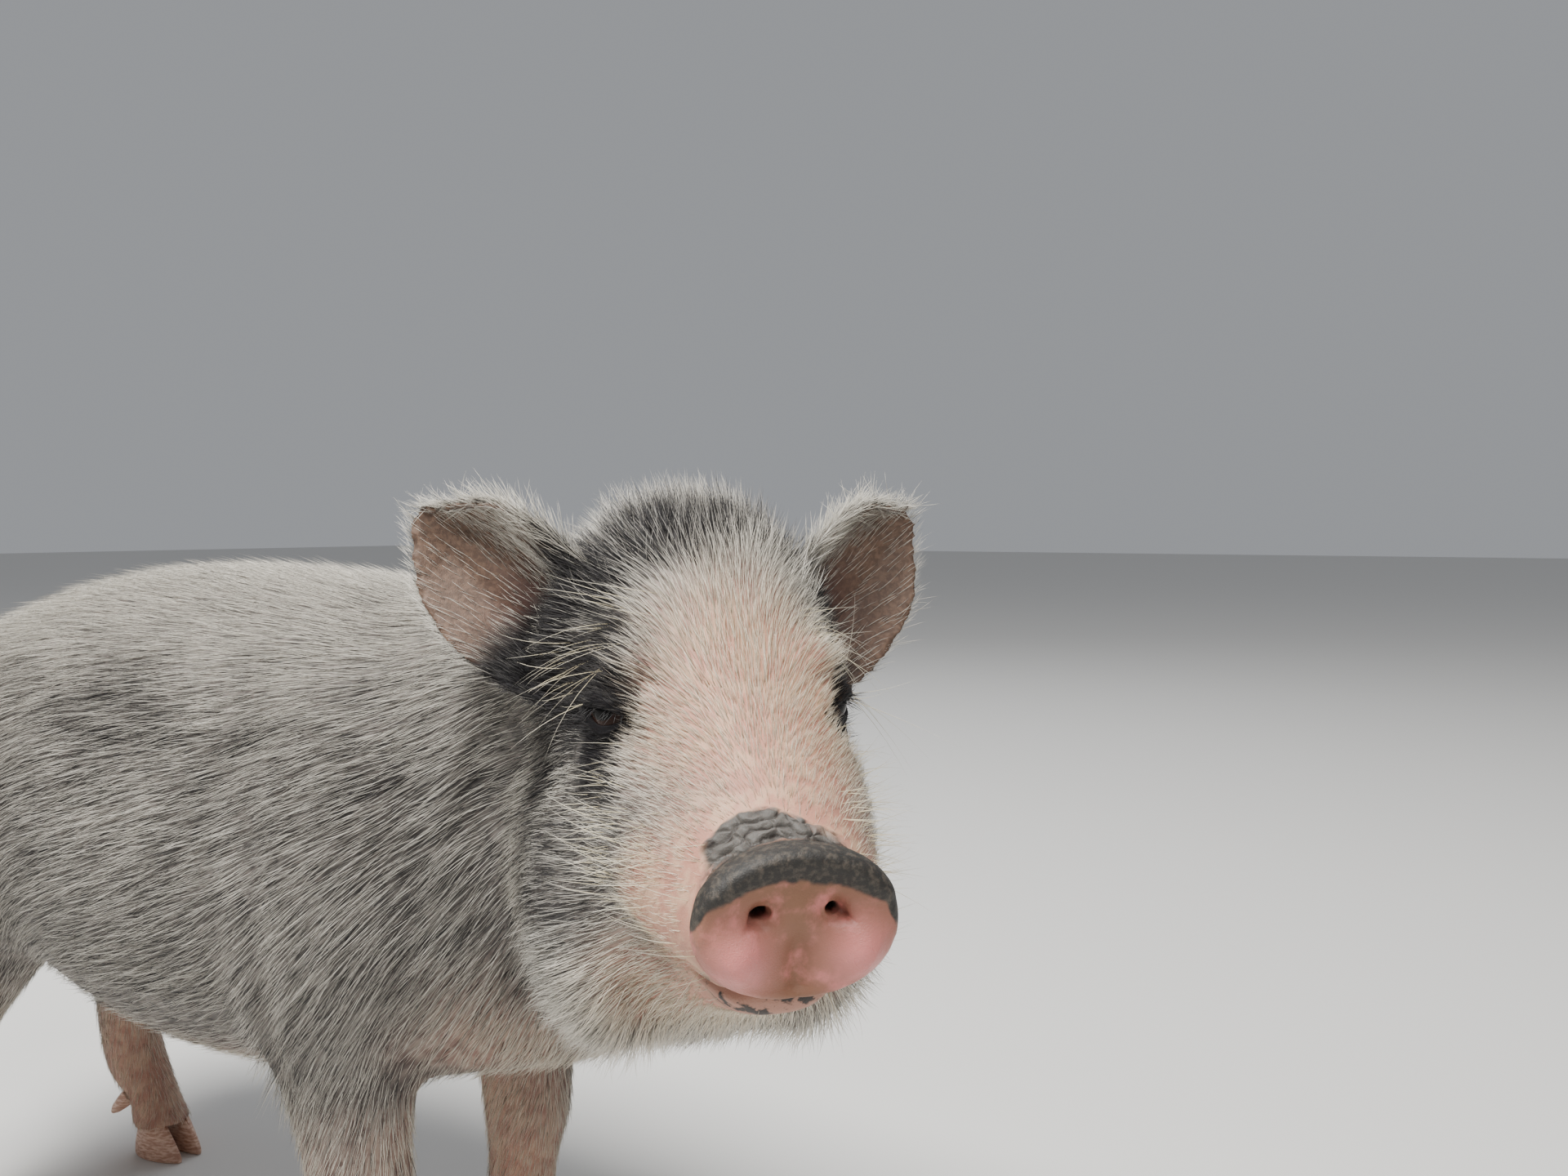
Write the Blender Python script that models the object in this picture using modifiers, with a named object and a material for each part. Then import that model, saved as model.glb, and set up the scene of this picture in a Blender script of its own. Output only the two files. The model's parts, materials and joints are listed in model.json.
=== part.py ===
# A young kunekune pig standing with its head turned to its right, life size, in metres.
# The pig faces -Y and +Z is up. The flesh is blocked out whole from lofts and ellipsoids,
# fused and smoothed like clay, and then parted into its named pieces by thin cuts.
# Ears, snout disc, claws and tail are lofts of their own, cut to fit what they grow from.
import math
import random

import bmesh
import bpy
import numpy as np
from mathutils import Euler, Matrix, Vector
from mathutils.bvhtree import BVHTree

GAP = 0.0003
NAME = "kunekune_pig"
SEED = 11

# Head carriage: the point midway between the eyes, and how the head is turned and tipped
EYE_MIDPOINT = Vector((-0.069, -0.181, 0.283))
HEAD_TURN = math.radians(-44.8)
HEAD_NOD = math.radians(3.5)
HEAD = Matrix.Translation(EYE_MIDPOINT) @ Euler((HEAD_NOD, 0, HEAD_TURN), "XYZ").to_matrix().to_4x4()

# Where the feet stand
FOREFOOT_Y = -0.009
HINDFOOT_Y = 0.250

# Trunk sections from breast to rump: y, top, bottom, half width
TRUNK = (
    (-0.096, 0.236, 0.180, 0.022),
    (-0.086, 0.262, 0.154, 0.046),
    (-0.058, 0.292, 0.132, 0.066),
    (-0.012, 0.311, 0.119, 0.078),
    (0.045, 0.3165, 0.110, 0.086),
    (0.105, 0.3185, 0.109, 0.090),
    (0.155, 0.316, 0.119, 0.089),
    (0.205, 0.307, 0.142, 0.084),
    (0.252, 0.292, 0.164, 0.076),
    (0.288, 0.271, 0.176, 0.062),
    (0.313, 0.250, 0.190, 0.042),
    (0.324, 0.236, 0.204, 0.020),
)
TRUNK_SQUARENESS = 2.2
TRUNK_WIDEST = 0.46

# Head sections in the head's own frame: forward of the eyes, top, bottom, half width, squareness of the top
SKULL = (
    (0.0810, -0.0205, -0.0560, 0.0218, 2.2),
    (0.0670, -0.0145, -0.0575, 0.0252, 2.0),
    (0.0520, -0.0060, -0.0585, 0.0308, 1.9),
    (0.0340, 0.0045, -0.0590, 0.0366, 1.8),
    (0.0155, 0.0180, -0.0590, 0.0396, 1.9),
    (-0.0040, 0.0340, -0.0585, 0.0406, 2.1),
    (-0.0240, 0.0470, -0.0580, 0.0424, 2.3),
    (-0.0440, 0.0540, -0.0580, 0.0446, 2.4),
    (-0.0640, 0.0550, -0.0580, 0.0466, 2.4),
    (-0.0880, 0.0490, -0.0580, 0.0495, 2.4),
)
SKULL_WIDEST = 0.36
JAW = (
    (0.0685, -0.0540, -0.0620, 0.0115, 2.2),
    (0.0605, -0.0480, -0.0680, 0.0160, 2.2),
    (0.0440, -0.0440, -0.0740, 0.0205, 2.2),
    (0.0240, -0.0390, -0.0820, 0.0280, 2.2),
    (0.0000, -0.0300, -0.0960, 0.0370, 2.2),
    (-0.0280, -0.0200, -0.1120, 0.0460, 2.2),
    (-0.0560, -0.0100, -0.1230, 0.0540, 2.2),
    (-0.0880, 0.0000, -0.1250, 0.0580, 2.2),
)
JAW_WIDEST = 0.55
LOWER_SQUARENESS = 2.4

# Neck: from the shoulders to the back of the head, turning with it
NECK_ROOT = Vector((0.0, -0.020, 0.214))
NECK_ROOT_SIZE = (0.075, 0.101, 0.096)
NECK_END_BEHIND_EYES = 0.075
NECK_END_SIZE = (0.064, 0.083, 0.099)
NECK_END_LEVEL = -0.027

NECK_LEAVE = Vector((0, -0.060, 0.010))
NECK_RINGS = 14
NECK_TWIST = 1.4
NECK_SQUARENESS = 2.2

# Rounded masses under the skin, on the left side: centre, radii and turn in degrees
HEAD_MASSES = {
    "jowl": ((0.0270, 0.034, -0.066), (0.0270, 0.052, 0.045), (0, 0, 0)),
    "cheekbone": ((0.0250, -0.010, -0.030), (0.0150, 0.038, 0.022), (0, 0, -10)),
    "brow": ((0.0245, 0.008, 0.0110), (0.0105, 0.0230, 0.0088), (-8, 0, 0)),
    "ear_root": ((0.0360, 0.048, 0.016), (0.0120, 0.0170, 0.0220), (0, -14, 0)),
}
BODY_MASSES = {
    "flank_fold": ((0.060, 0.190, 0.186), (0.016, 0.040, 0.034), (35, 0, 0)),
    "haunch": ((0.040, 0.246, 0.214), (0.041, 0.060, 0.058), (0, 0, 0)),
    "ham": ((0.044, 0.276, 0.180), (0.033, 0.040, 0.064), (-14, 0, 0)),
    "shoulder": ((0.044, -0.004, 0.218), (0.041, 0.060, 0.076), (0, 0, 0)),
}

# Legs, from the coronet up into the body: z, x, y behind the foot, half width, half depth
FORELEG = (
    (0.010, 0.045, -0.001, 0.0150, 0.0164),
    (0.026, 0.045, 0.001, 0.0135, 0.0145),
    (0.042, 0.045, 0.006, 0.0150, 0.0165),
    (0.062, 0.045, 0.004, 0.0150, 0.0165),
    (0.082, 0.046, 0.002, 0.0186, 0.0205),
    (0.100, 0.047, 0.004, 0.0196, 0.0215),
    (0.124, 0.047, 0.008, 0.0225, 0.0270),
    (0.152, 0.050, 0.010, 0.0290, 0.0400),
    (0.190, 0.051, 0.006, 0.0350, 0.0520),
    (0.240, 0.045, 0.008, 0.0350, 0.0500),
    (0.284, 0.029, 0.022, 0.0250, 0.0360),
)
HINDLEG = (
    (0.010, 0.052, -0.001, 0.0150, 0.0164),
    (0.026, 0.051, 0.006, 0.0140, 0.0155),
    (0.044, 0.049, 0.017, 0.0158, 0.0180),
    (0.064, 0.047, 0.021, 0.0155, 0.0172),
    (0.084, 0.047, 0.021, 0.0165, 0.0205),
    (0.102, 0.048, 0.015, 0.0195, 0.0285),
    (0.122, 0.050, 0.003, 0.0245, 0.0390),
    (0.148, 0.052, -0.012, 0.0310, 0.0530),
    (0.180, 0.053, -0.014, 0.0350, 0.0600),
    (0.218, 0.050, -0.008, 0.0370, 0.0610),
    (0.252, 0.040, 0.000, 0.0340, 0.0440),
    (0.276, 0.028, 0.000, 0.0250, 0.0300),
)
LEG_SQUARENESS = 2.15
LEG_SIDES = 24
# Where the legs part from the trunk: level at the inner and outer side, reach ahead and behind the foot
LEG_TOPS = {"fore": (0.119, 0.131), "hind": (0.158, 0.172)}
LEG_REACH = {"fore": (0.050, 0.050), "hind": (0.074, 0.085)}
LEG_SPAN = (0.010, 0.115)
CORONET_LEVEL = 0.0140
CORONET_SLOPE = 0.16

EYE_RADIUS = 0.0108
EYE_CENTRE = Vector((0.0266, 0.0040, -0.0008))
EYE_AXIS = Vector((0.82, -0.56, 0.08)).normalized()
LID_THICKNESS = 0.0017
EYE_OPENING = (0.0096, 0.0044)
# The opening between the lids widens on its way out: distance from the eye's centre, spread
LID_FLARE = ((0.002, 0.75), (0.0100, 0.98), (0.0128, 1.10), (0.022, 1.25))
LID_POINTS = 20
LID_POINTED = 0.35

BODY_VOXEL = 0.003
BODY_TRIANGLES = 4200
HEAD_VOXEL = 0.0013
HEAD_TRIANGLES = 4600
# Smoothing rounds, and the levels or depths between which the soft rounds come in
BODY_ROUNDS = (5, 60)
HEAD_ROUNDS = (36, 90)
BELLY_LEVELS = (0.115, 0.165)
THROAT_DEPTHS = (0.14, 0.17)
THROAT_KEPT = 0.7
POLL_DEPTHS = (0.005, 0.040)


def new_object(name, mesh):
    made = bpy.data.objects.new(name, mesh)
    bpy.context.scene.collection.objects.link(made)
    return made


def object_from(name, mesh):
    """An object made of a bmesh, which is freed."""
    data = bpy.data.meshes.new(name)
    mesh.to_mesh(data)
    mesh.free()
    return new_object(name, data)


def catmull_rom(rows, steps):
    """Rows in between the given stations, so that a few of them give a smooth form."""
    rows = np.array(rows, float)
    padded = np.vstack([2 * rows[0] - rows[1], rows, 2 * rows[-1] - rows[-2]])
    between = []
    for a, b, c, d in zip(padded, padded[1:], padded[2:], padded[3:]):
        for t in np.arange(steps) / steps:
            square, cube = t * t, t * t * t
            between.append(
                b + 0.5 * (c - a) * t
                + (a - 2.5 * b + 2 * c - 0.5 * d) * square
                + 0.5 * (3 * b - a - 3 * c + d) * cube
            )
    between.append(rows[-1])
    return between


def section(half_width, up, down, squareness, count=32, lower=None):
    """Points of a rounded section, up and down being measured from its widest level."""
    points = []
    for k in range(count):
        turn = 2 * math.pi * k / count
        c, s = math.cos(turn), math.sin(turn)
        power = 2 / (squareness if s > 0 or lower is None else lower)
        x = half_width * math.copysign(abs(c) ** power, c)
        z = (up if s > 0 else down) * math.copysign(abs(s) ** power, s)
        points.append((x, z))
    return points


def loft(name, rings):
    """A closed skin over a row of rings that have the same number of points."""
    mesh = bmesh.new()
    layers = [[mesh.verts.new(point) for point in ring] for ring in rings]
    for near, far in zip(layers, layers[1:]):
        for k in range(len(near)):
            m = (k + 1) % len(near)
            mesh.faces.new((near[k], near[m], far[m], far[k]))
    mesh.faces.new(layers[0])
    mesh.faces.new(layers[-1])
    mesh.normal_update()
    bmesh.ops.recalc_face_normals(mesh, faces=mesh.faces)
    return object_from(name, mesh)


def ellipsoid(name, centre, radii, turn=(0, 0, 0), frame=Matrix.Identity(4), detail=(24, 16)):
    mesh = bmesh.new()
    bmesh.ops.create_uvsphere(mesh, u_segments=detail[0], v_segments=detail[1], radius=1)
    place = Matrix.Translation(centre) @ Euler([math.radians(a) for a in turn]).to_matrix().to_4x4()
    bmesh.ops.transform(mesh, matrix=frame @ place @ Matrix.Diagonal((*radii, 1)), verts=mesh.verts)
    return object_from(name, mesh)


def both_sides(name, centre, radii, turn, frame=Matrix.Identity(4)):
    """A pair of ellipsoids, mirrored across the middle of the body or of the head."""
    pair = []
    for side, tag in ((1, "left"), (-1, "right")):
        where = (side * centre[0], centre[1], centre[2])
        twist = (turn[0], side * turn[1], side * turn[2])
        pair.append(ellipsoid(f"{name}_{tag}", where, radii, twist, frame))
    return pair


def evaluated_mesh(made):
    """The object's mesh with its modifiers applied, in world space."""
    bpy.context.view_layer.update()
    graph = bpy.context.evaluated_depsgraph_get()
    data = bpy.data.meshes.new_from_object(made.evaluated_get(graph))
    data.transform(made.matrix_world)
    return data


def apply_modifiers(made):
    data = evaluated_mesh(made)
    made.modifiers.clear()
    made.data = data
    made.matrix_world = Matrix.Identity(4)
    return made


def join(name, objects):
    """One mesh object that holds the shells of all of these."""
    mesh = bmesh.new()
    for made in objects:
        mesh.from_mesh(evaluated_mesh(made))
        bpy.data.objects.remove(made)
    return object_from(name, mesh)


def islands(mesh):
    """The separate closed surfaces of a bmesh, each as a list of faces."""
    left = set(mesh.faces)
    found = []
    while left:
        stack = [left.pop()]
        island = []
        while stack:
            face = stack.pop()
            island.append(face)
            for edge in face.edges:
                for other in edge.link_faces:
                    if other in left:
                        left.remove(other)
                        stack.append(other)
        found.append(island)
    return found


def volume_of(faces):
    total = 0.0
    for face in faces:
        first = face.verts[0].co
        for a, b in zip(face.verts[1:], face.verts[2:]):
            total += first.dot(a.co.cross(b.co)) / 6
    return total


def keep_largest(made):
    """Drops loose scraps and sealed hollows that a cut or a union has left."""
    mesh = bmesh.new()
    mesh.from_mesh(made.data)
    found = sorted(islands(mesh), key=lambda faces: -volume_of(faces))
    spare = [face for faces in found[1:] for face in faces]
    bmesh.ops.delete(mesh, geom=spare, context="FACES")
    loose = [vert for vert in mesh.verts if not vert.link_faces]
    bmesh.ops.delete(mesh, geom=loose, context="VERTS")
    mesh.to_mesh(made.data)
    mesh.free()
    return made


def boolean(made, tool, operation, keep_tool=False):
    cut = made.modifiers.new(operation.lower(), "BOOLEAN")
    cut.operation = operation
    cut.solver = "EXACT"
    cut.object = tool
    apply_modifiers(made)
    if not keep_tool:
        bpy.data.objects.remove(tool)
    return keep_largest(made)


def unite(made, pieces):
    """One Boolean union of a node and all the closed pieces rooted in it."""
    group = bpy.data.collections.new(made.name + "_pieces")
    bpy.context.scene.collection.children.link(group)
    for piece in pieces:
        bpy.context.scene.collection.objects.unlink(piece)
        group.objects.link(piece)
    join_up = made.modifiers.new("union", "BOOLEAN")
    join_up.operation = "UNION"
    join_up.operand_type = "COLLECTION"
    join_up.solver = "EXACT"
    join_up.collection = group
    apply_modifiers(made)
    for piece in pieces:
        bpy.data.objects.remove(piece)
    bpy.data.collections.remove(group)
    return keep_largest(made)


def copy_of(made, name):
    return new_object(name, made.data.copy())


def grown(made, name, amount):
    """A copy pushed out by the given amount, to cut a neighbour with a gap."""
    mesh = bmesh.new()
    mesh.from_mesh(made.data)
    bmesh.ops.recalc_face_normals(mesh, faces=mesh.faces)
    mesh.normal_update()
    shifts = [vert.normal * amount * vert.calc_shell_factor() for vert in mesh.verts]
    for vert, shift in zip(mesh.verts, shifts):
        vert.co += shift
    return object_from(name, mesh)


def slice_off(made, point, normal, shift=0.0):
    """Keeps the side that the normal points to, closed with a flat face."""
    normal = Vector(normal).normalized()
    mesh = bmesh.new()
    mesh.from_mesh(made.data)
    cut = bmesh.ops.bisect_plane(
        mesh, geom=mesh.verts[:] + mesh.edges[:] + mesh.faces[:], dist=1e-7,
        plane_co=Vector(point) + normal * shift, plane_no=normal, clear_inner=True,
    )
    rim = [item for item in cut["geom_cut"] if isinstance(item, bmesh.types.BMEdge)]
    bmesh.ops.holes_fill(mesh, edges=rim, sides=0)
    bmesh.ops.triangulate(mesh, faces=[face for face in mesh.faces if len(face.verts) > 4])
    mesh.to_mesh(made.data)
    mesh.free()
    return keep_largest(made)


def trunk():
    rings = []
    for y, top, bottom, half_width in catmull_rom(TRUNK, 4):
        widest = bottom + TRUNK_WIDEST * (top - bottom)
        shape = section(half_width, top - widest, widest - bottom, TRUNK_SQUARENESS)
        rings.append([(x, y, widest + z) for x, z in shape])
    return loft("trunk_form", rings)


def head_loft(name, stations, widest_share):
    rings = []
    for forward, top, bottom, half_width, squareness in catmull_rom(stations, 4):
        widest = bottom + widest_share * (top - bottom)
        shape = section(half_width, top - widest, widest - bottom, squareness, lower=LOWER_SQUARENESS)
        rings.append([HEAD @ Vector((x, -forward, widest + z)) for x, z in shape])
    return loft(name, rings)


def neck():
    end = HEAD @ Vector((0, NECK_END_BEHIND_EYES, NECK_END_LEVEL))
    leave = NECK_ROOT + NECK_LEAVE
    rings = []
    for t in np.linspace(0, 1, NECK_RINGS):
        centre = NECK_ROOT * (1 - t) ** 2 + leave * 2 * t * (1 - t) + end * t * t
        turn = Matrix.Rotation(HEAD_TURN * t ** NECK_TWIST, 3, "Z")
        half_width, up, down = (a + (b - a) * t for a, b in zip(NECK_ROOT_SIZE, NECK_END_SIZE))
        shape = section(half_width, up, down, NECK_SQUARENESS)
        rings.append([centre + turn @ Vector((x, 0, z)) for x, z in shape])
    return loft("neck_form", rings)


def leg(name, stations, side, foot_y):
    rings = []
    for z, x, y, half_width, half_depth in catmull_rom(stations, 4):
        shape = section(half_width, half_depth, half_depth, LEG_SQUARENESS, LEG_SIDES)
        rings.append([(side * x + dx, foot_y + y + dy, z) for dx, dy in shape])
    return loft(name, rings)


def head_forms():
    forms = [neck()]
    forms.append(head_loft("skull_form", SKULL, SKULL_WIDEST))
    forms.append(head_loft("jaw_form", JAW, JAW_WIDEST))
    for name, (centre, radii, turn) in HEAD_MASSES.items():
        forms += both_sides(name, centre, radii, turn, HEAD)
    return forms


def body_forms():
    forms = head_forms() + [trunk()]
    for side, tag in ((1, "left"), (-1, "right")):
        forms.append(leg(f"foreleg_form_{tag}", FORELEG, side, FOREFOOT_Y))
        forms.append(leg(f"hindleg_form_{tag}", HINDLEG, side, HINDFOOT_Y))
    for name, (centre, radii, turn) in BODY_MASSES.items():
        forms += both_sides(name, centre, radii, turn)
    return forms


def soften(made, iterations, weight=None):
    """Laplacian smoothing, over the whole of the object or where the weight says."""
    smooth = made.modifiers.new("smooth", "SMOOTH")
    smooth.factor = 0.5
    smooth.iterations = iterations
    if weight:
        group = made.vertex_groups.new(name="soft")
        for vert in made.data.vertices:
            group.add([vert.index], weight(vert.co), "REPLACE")
        smooth.vertex_group = "soft"
    apply_modifiers(made)
    made.vertex_groups.clear()
    return made


def fuse(made, voxel):
    remesh = made.modifiers.new("fuse", "REMESH")
    remesh.mode = "VOXEL"
    remesh.voxel_size = voxel
    return apply_modifiers(made)


def reduce_to(made, triangles):
    made.data.calc_loop_triangles()
    decimate = made.modifiers.new("decimate", "DECIMATE")
    decimate.ratio = triangles / len(made.data.loop_triangles)
    return apply_modifiers(made)


def ramp(value, low, high):
    t = min(max((value - low) / (high - low), 0), 1)
    return t * t * (3 - 2 * t)


def clay_body():
    """Trunk, neck and legs as one smooth surface; the head on it only shapes the neck."""
    made = fuse(join("body_clay", body_forms()), BODY_VOXEL)
    firm, soft = BODY_ROUNDS
    soften(made, firm)
    soften(made, soft, lambda p: ramp(p.z, *BELLY_LEVELS) * (1 - THROAT_KEPT * ramp(-p.y, *THROAT_DEPTHS)))
    return reduce_to(made, BODY_TRIANGLES)


def clay_head():
    made = fuse(join("head_clay", head_forms()), HEAD_VOXEL)
    firm, soft = HEAD_ROUNDS
    soften(made, firm)
    soften(made, soft, lambda p: ramp((HEAD.inverted() @ p).y, *POLL_DEPTHS))
    return reduce_to(made, HEAD_TRIANGLES)


# Planes of the cuts, each a point and a normal
HEAD_BACK = (HEAD @ Vector((0, 0.072, 0)), HEAD.to_3x3() @ Vector((0, -1, 0.10)))
DISC_BACK = (HEAD @ Vector((0, -0.0712, 0)), HEAD.to_3x3() @ Vector((0, -1, 0)))
NECK_BACK = (Vector((0, -0.060, 0.220)), Vector((0, -1, 0.12)))


def leg_box(name, side, foot_y, levels, reach, inset):
    """A block round a leg, with its top sloping up from the inner to the outer side."""
    inner, outer = LEG_SPAN
    mesh = bmesh.new()
    bmesh.ops.create_cube(mesh, size=1)
    for vert in mesh.verts:
        out = inner + inset if vert.co.x < 0 else outer - inset
        along = foot_y - reach[0] + inset if vert.co.y < 0 else foot_y + reach[1] - inset
        level = levels[0] if vert.co.x < 0 else levels[1]
        top = level - inset
        vert.co = (side * out, along, top if vert.co.z > 0 else -0.02)
    mesh.normal_update()
    bmesh.ops.recalc_face_normals(mesh, faces=mesh.faces)
    return object_from(name, mesh)


def eye_matrix(side):
    """The frame of an eye, looking along its own -Y, with its Z up."""
    axis = Vector((side * EYE_AXIS.x, EYE_AXIS.y, EYE_AXIS.z))
    back = -axis
    across = back.cross(Vector((0, 0, 1))).normalized()
    up = across.cross(back)
    turn = Matrix((across, back, up)).transposed().to_4x4()
    centre = Vector((side * EYE_CENTRE.x, EYE_CENTRE.y, EYE_CENTRE.z))
    return HEAD @ Matrix.Translation(centre) @ turn


def eyeball(name, side, radius, detail):
    return ellipsoid(name, (0, 0, 0), (radius, radius, radius), (90, 0, 0), eye_matrix(side), detail)


def lid_opening(name, side):
    """The almond between the lids, run out along the way the eye looks."""
    half_length, half_height = EYE_OPENING
    rings = []
    for forward, spread in LID_FLARE:
        ring = []
        for k in range(LID_POINTS):
            turn = 2 * math.pi * k / LID_POINTS
            x = math.cos(turn)
            z = math.sin(turn) * (1 - LID_POINTED * x * x)
            across, up = half_length * spread * x, half_height * spread * z
            ring.append(eye_matrix(side) @ Vector((across, -forward, up)))
        rings.append(ring)
    return loft(name, rings)


# Snout disc, from its neck to the middle of its face: distance forward, half width, height up and down
DISC = (
    (0.0715, 0.0222, 0.0158, 0.0180),
    (0.0737, 0.0236, 0.0168, 0.0198),
    (0.0768, 0.0249, 0.0174, 0.0213),
    (0.0798, 0.0252, 0.0175, 0.0217),
    (0.0820, 0.0243, 0.0169, 0.0210),
    (0.0828, 0.0221, 0.0152, 0.0192),
    (0.0823, 0.0160, 0.0106, 0.0143),
    (0.0820, 0.0080, 0.0052, 0.0071),
)
DISC_LEVEL = -0.0368
DISC_TILT = 0.05
DISC_TILT_FROM = 0.008
DISC_SQUARENESS = 2.25
DISC_SIDES = 30
NOSTRIL = Vector((0.0093, -0.0830, -0.0338))
NOSTRIL_RADII = (0.0041, 0.0085, 0.0027)
NOSTRIL_SLANT = 28


def snout_disc():
    """The flat round end of the snout, its rim standing proud of the muzzle, with both nostrils."""
    rings = []
    for forward, half_width, up, down in DISC:
        shape = section(half_width, up, down, DISC_SQUARENESS, DISC_SIDES)
        tilt = DISC_TILT * min((forward - DISC[0][0]) / DISC_TILT_FROM, 1)
        rings.append([HEAD @ Vector((x, -forward - tilt * z, DISC_LEVEL + z)) for x, z in shape])
    made = loft("snout_disc", rings)
    for side, tag in ((1, "left"), (-1, "right")):
        where = (side * NOSTRIL.x, NOSTRIL.y, NOSTRIL.z)
        slant = (0, side * NOSTRIL_SLANT, 0)
        hole = ellipsoid(f"nostril_{tag}", where, NOSTRIL_RADII, slant, HEAD, (12, 8))
        boolean(made, hole, "DIFFERENCE")
    return made


# The line of the mouth on the left side: forward, out, level
MOUTH_LINE = (
    (0.0760, 0.0000, -0.0590),
    (0.0700, 0.0120, -0.0583),
    (0.0600, 0.0300, -0.0572),
    (0.0480, 0.0300, -0.0562),
    (0.0380, 0.0340, -0.0550),
    (0.0300, 0.0380, -0.0530),
    (0.0230, 0.0420, -0.0495),
)
MOUTH_HALF_HEIGHT = 0.0007
MOUTH_DEPTH = 0.0024
MOUTH_REACH = 0.004
MOUTH_CENTRE = Vector((0, -0.034, 0))
# How much of its depth and height the slot has at the corners
CORNER_DEPTH = 0.35
CORNER_HEIGHT = 0.4


def mouth_groove(head):
    """The line of the mouth: a narrow slot let into the face from corner to corner."""
    mesh = bmesh.new()
    mesh.from_mesh(head.data)
    surface = BVHTree.FromBMesh(mesh)
    mesh.free()
    to_head = HEAD.inverted()
    turn = HEAD.to_3x3()
    left = catmull_rom(MOUTH_LINE, 2)
    path = [(f, -x, z) for f, x, z in reversed(left[1:])] + [tuple(row) for row in left]
    rings = []
    for k, (forward, x, z) in enumerate(path):
        outside = Vector((x, -forward, z))
        inward = MOUTH_CENTRE - outside
        inward.z = 0
        inward.normalize()
        start = HEAD @ (outside - inward * 0.03)
        hit = surface.ray_cast(start, turn @ inward)[0]
        on_face = to_head @ hit
        end_share = min(k, len(path) - 1 - k) / 3
        depth = MOUTH_DEPTH * min(CORNER_DEPTH + (1 - CORNER_DEPTH) * end_share, 1)
        height = MOUTH_HALF_HEIGHT * min(CORNER_HEIGHT + (1 - CORNER_HEIGHT) * end_share, 1)
        ring = []
        lip = ((-MOUTH_REACH, 1), (-MOUTH_REACH, -1), (depth * 0.6, -0.8), (depth, 0), (depth * 0.6, 0.8))
        for out, up in lip:
            ring.append(HEAD @ (on_face + inward * out + Vector((0, 0, height * up))))
        rings.append(ring)
    return loft("mouth_groove", rings)


# Ears: along the middle line from root to tip, in the head's frame, for the left ear
EAR_LINE = (
    (0.022, 0.040, 0.002),
    (0.041, 0.050, 0.015),
    (0.057, 0.060, 0.028),
    (0.072, 0.070, 0.041),
    (0.085, 0.078, 0.051),
)
EAR_HALF_WIDTH = (0.0190, 0.0262, 0.0280, 0.0225, 0.0050)
EAR_CUP = (0.019, 0.0150, 0.0110, 0.0070, 0.0010)
EAR_THICKNESS = (0.0044, 0.0036, 0.0030, 0.0026, 0.0020)
EAR_FACING = Vector((0.34, -0.90, 0.10))
EAR_COLUMNS = 11
EAR_SLENDERING = 0.10
EAR_SEAT = 0.4
# Share of the thickness, to each side, at the edge and added in the middle
EAR_EDGE = 0.28
EAR_MIDDLE = 0.22


def ear_frames(side):
    """Along the ear: centre, across, facing, half width, cup depth and thickness."""
    rows = [(*p, w, c, t) for p, w, c, t in zip(EAR_LINE, EAR_HALF_WIDTH, EAR_CUP, EAR_THICKNESS)]
    rows = catmull_rom(rows, 3)
    frames = []
    for k, row in enumerate(rows):
        before, after = rows[max(k - 1, 0)], rows[min(k + 1, len(rows) - 1)]
        along = Vector(after[:3] - before[:3]).normalized()
        facing = (EAR_FACING - along * EAR_FACING.dot(along)).normalized()
        across = along.cross(facing)
        flip = Vector((side, 1, 1))
        frames.append((Vector(row[:3]) * flip, across * flip, facing * flip, row[3], row[4], row[5]))
    return frames


def ear(name, side):
    """A thin cupped leaf, hollow to the front."""
    rings = []
    for centre, across, facing, half_width, cup, thickness in ear_frames(side):
        front, back = [], []
        for k in range(EAR_COLUMNS):
            u = -1 + 2 * k / (EAR_COLUMNS - 1)
            rise = cup * (u * u)
            edge = math.sqrt(max(1 - u ** 6, 0.0))
            half = thickness * (EAR_EDGE + EAR_MIDDLE * edge)
            slope = math.atan2(2 * cup * u, half_width)
            normal = (facing * math.cos(slope) - across * math.sin(slope))
            spot = centre + across * (half_width * u * (1 - EAR_SLENDERING * u * u))
            spot = spot + facing * (rise - cup * EAR_SEAT)
            front.append(HEAD @ (spot + normal * half))
            back.append(HEAD @ (spot - normal * half))
        rings.append(front + back[::-1])
    return loft(name, rings)


# Tail: along its middle line from root to tip
TAIL_LINE = (
    (0.000, 0.298, 0.242),
    (0.000, 0.322, 0.243),
    (0.002, 0.338, 0.227),
    (0.007, 0.345, 0.204),
    (0.011, 0.346, 0.178),
    (0.009, 0.343, 0.157),
    (0.004, 0.342, 0.143),
)
TAIL_RADIUS = (0.0100, 0.0088, 0.0068, 0.0050, 0.0038, 0.0034, 0.0016)
TAIL_SIDES = 10


def tube(name, stations, count):
    """A round tube along stations of x, y, z and radius."""
    rings = []
    side = Vector((1, 0, 0))
    for k, row in enumerate(stations):
        before, after = stations[max(k - 1, 0)], stations[min(k + 1, len(stations) - 1)]
        along = Vector(after[:3]) - Vector(before[:3])
        along.normalize()
        side = (side - along * side.dot(along)).normalized()
        up = along.cross(side)
        ring = []
        for m in range(count):
            turn = 2 * math.pi * m / count
            ring.append(Vector(row[:3]) + (side * math.cos(turn) + up * math.sin(turn)) * row[3])
        rings.append(ring)
    return loft(name, rings)


def tail():
    rows = [(*p, r) for p, r in zip(TAIL_LINE, TAIL_RADIUS)]
    return tube("tail", catmull_rom(rows, 2), TAIL_SIDES)


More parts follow.
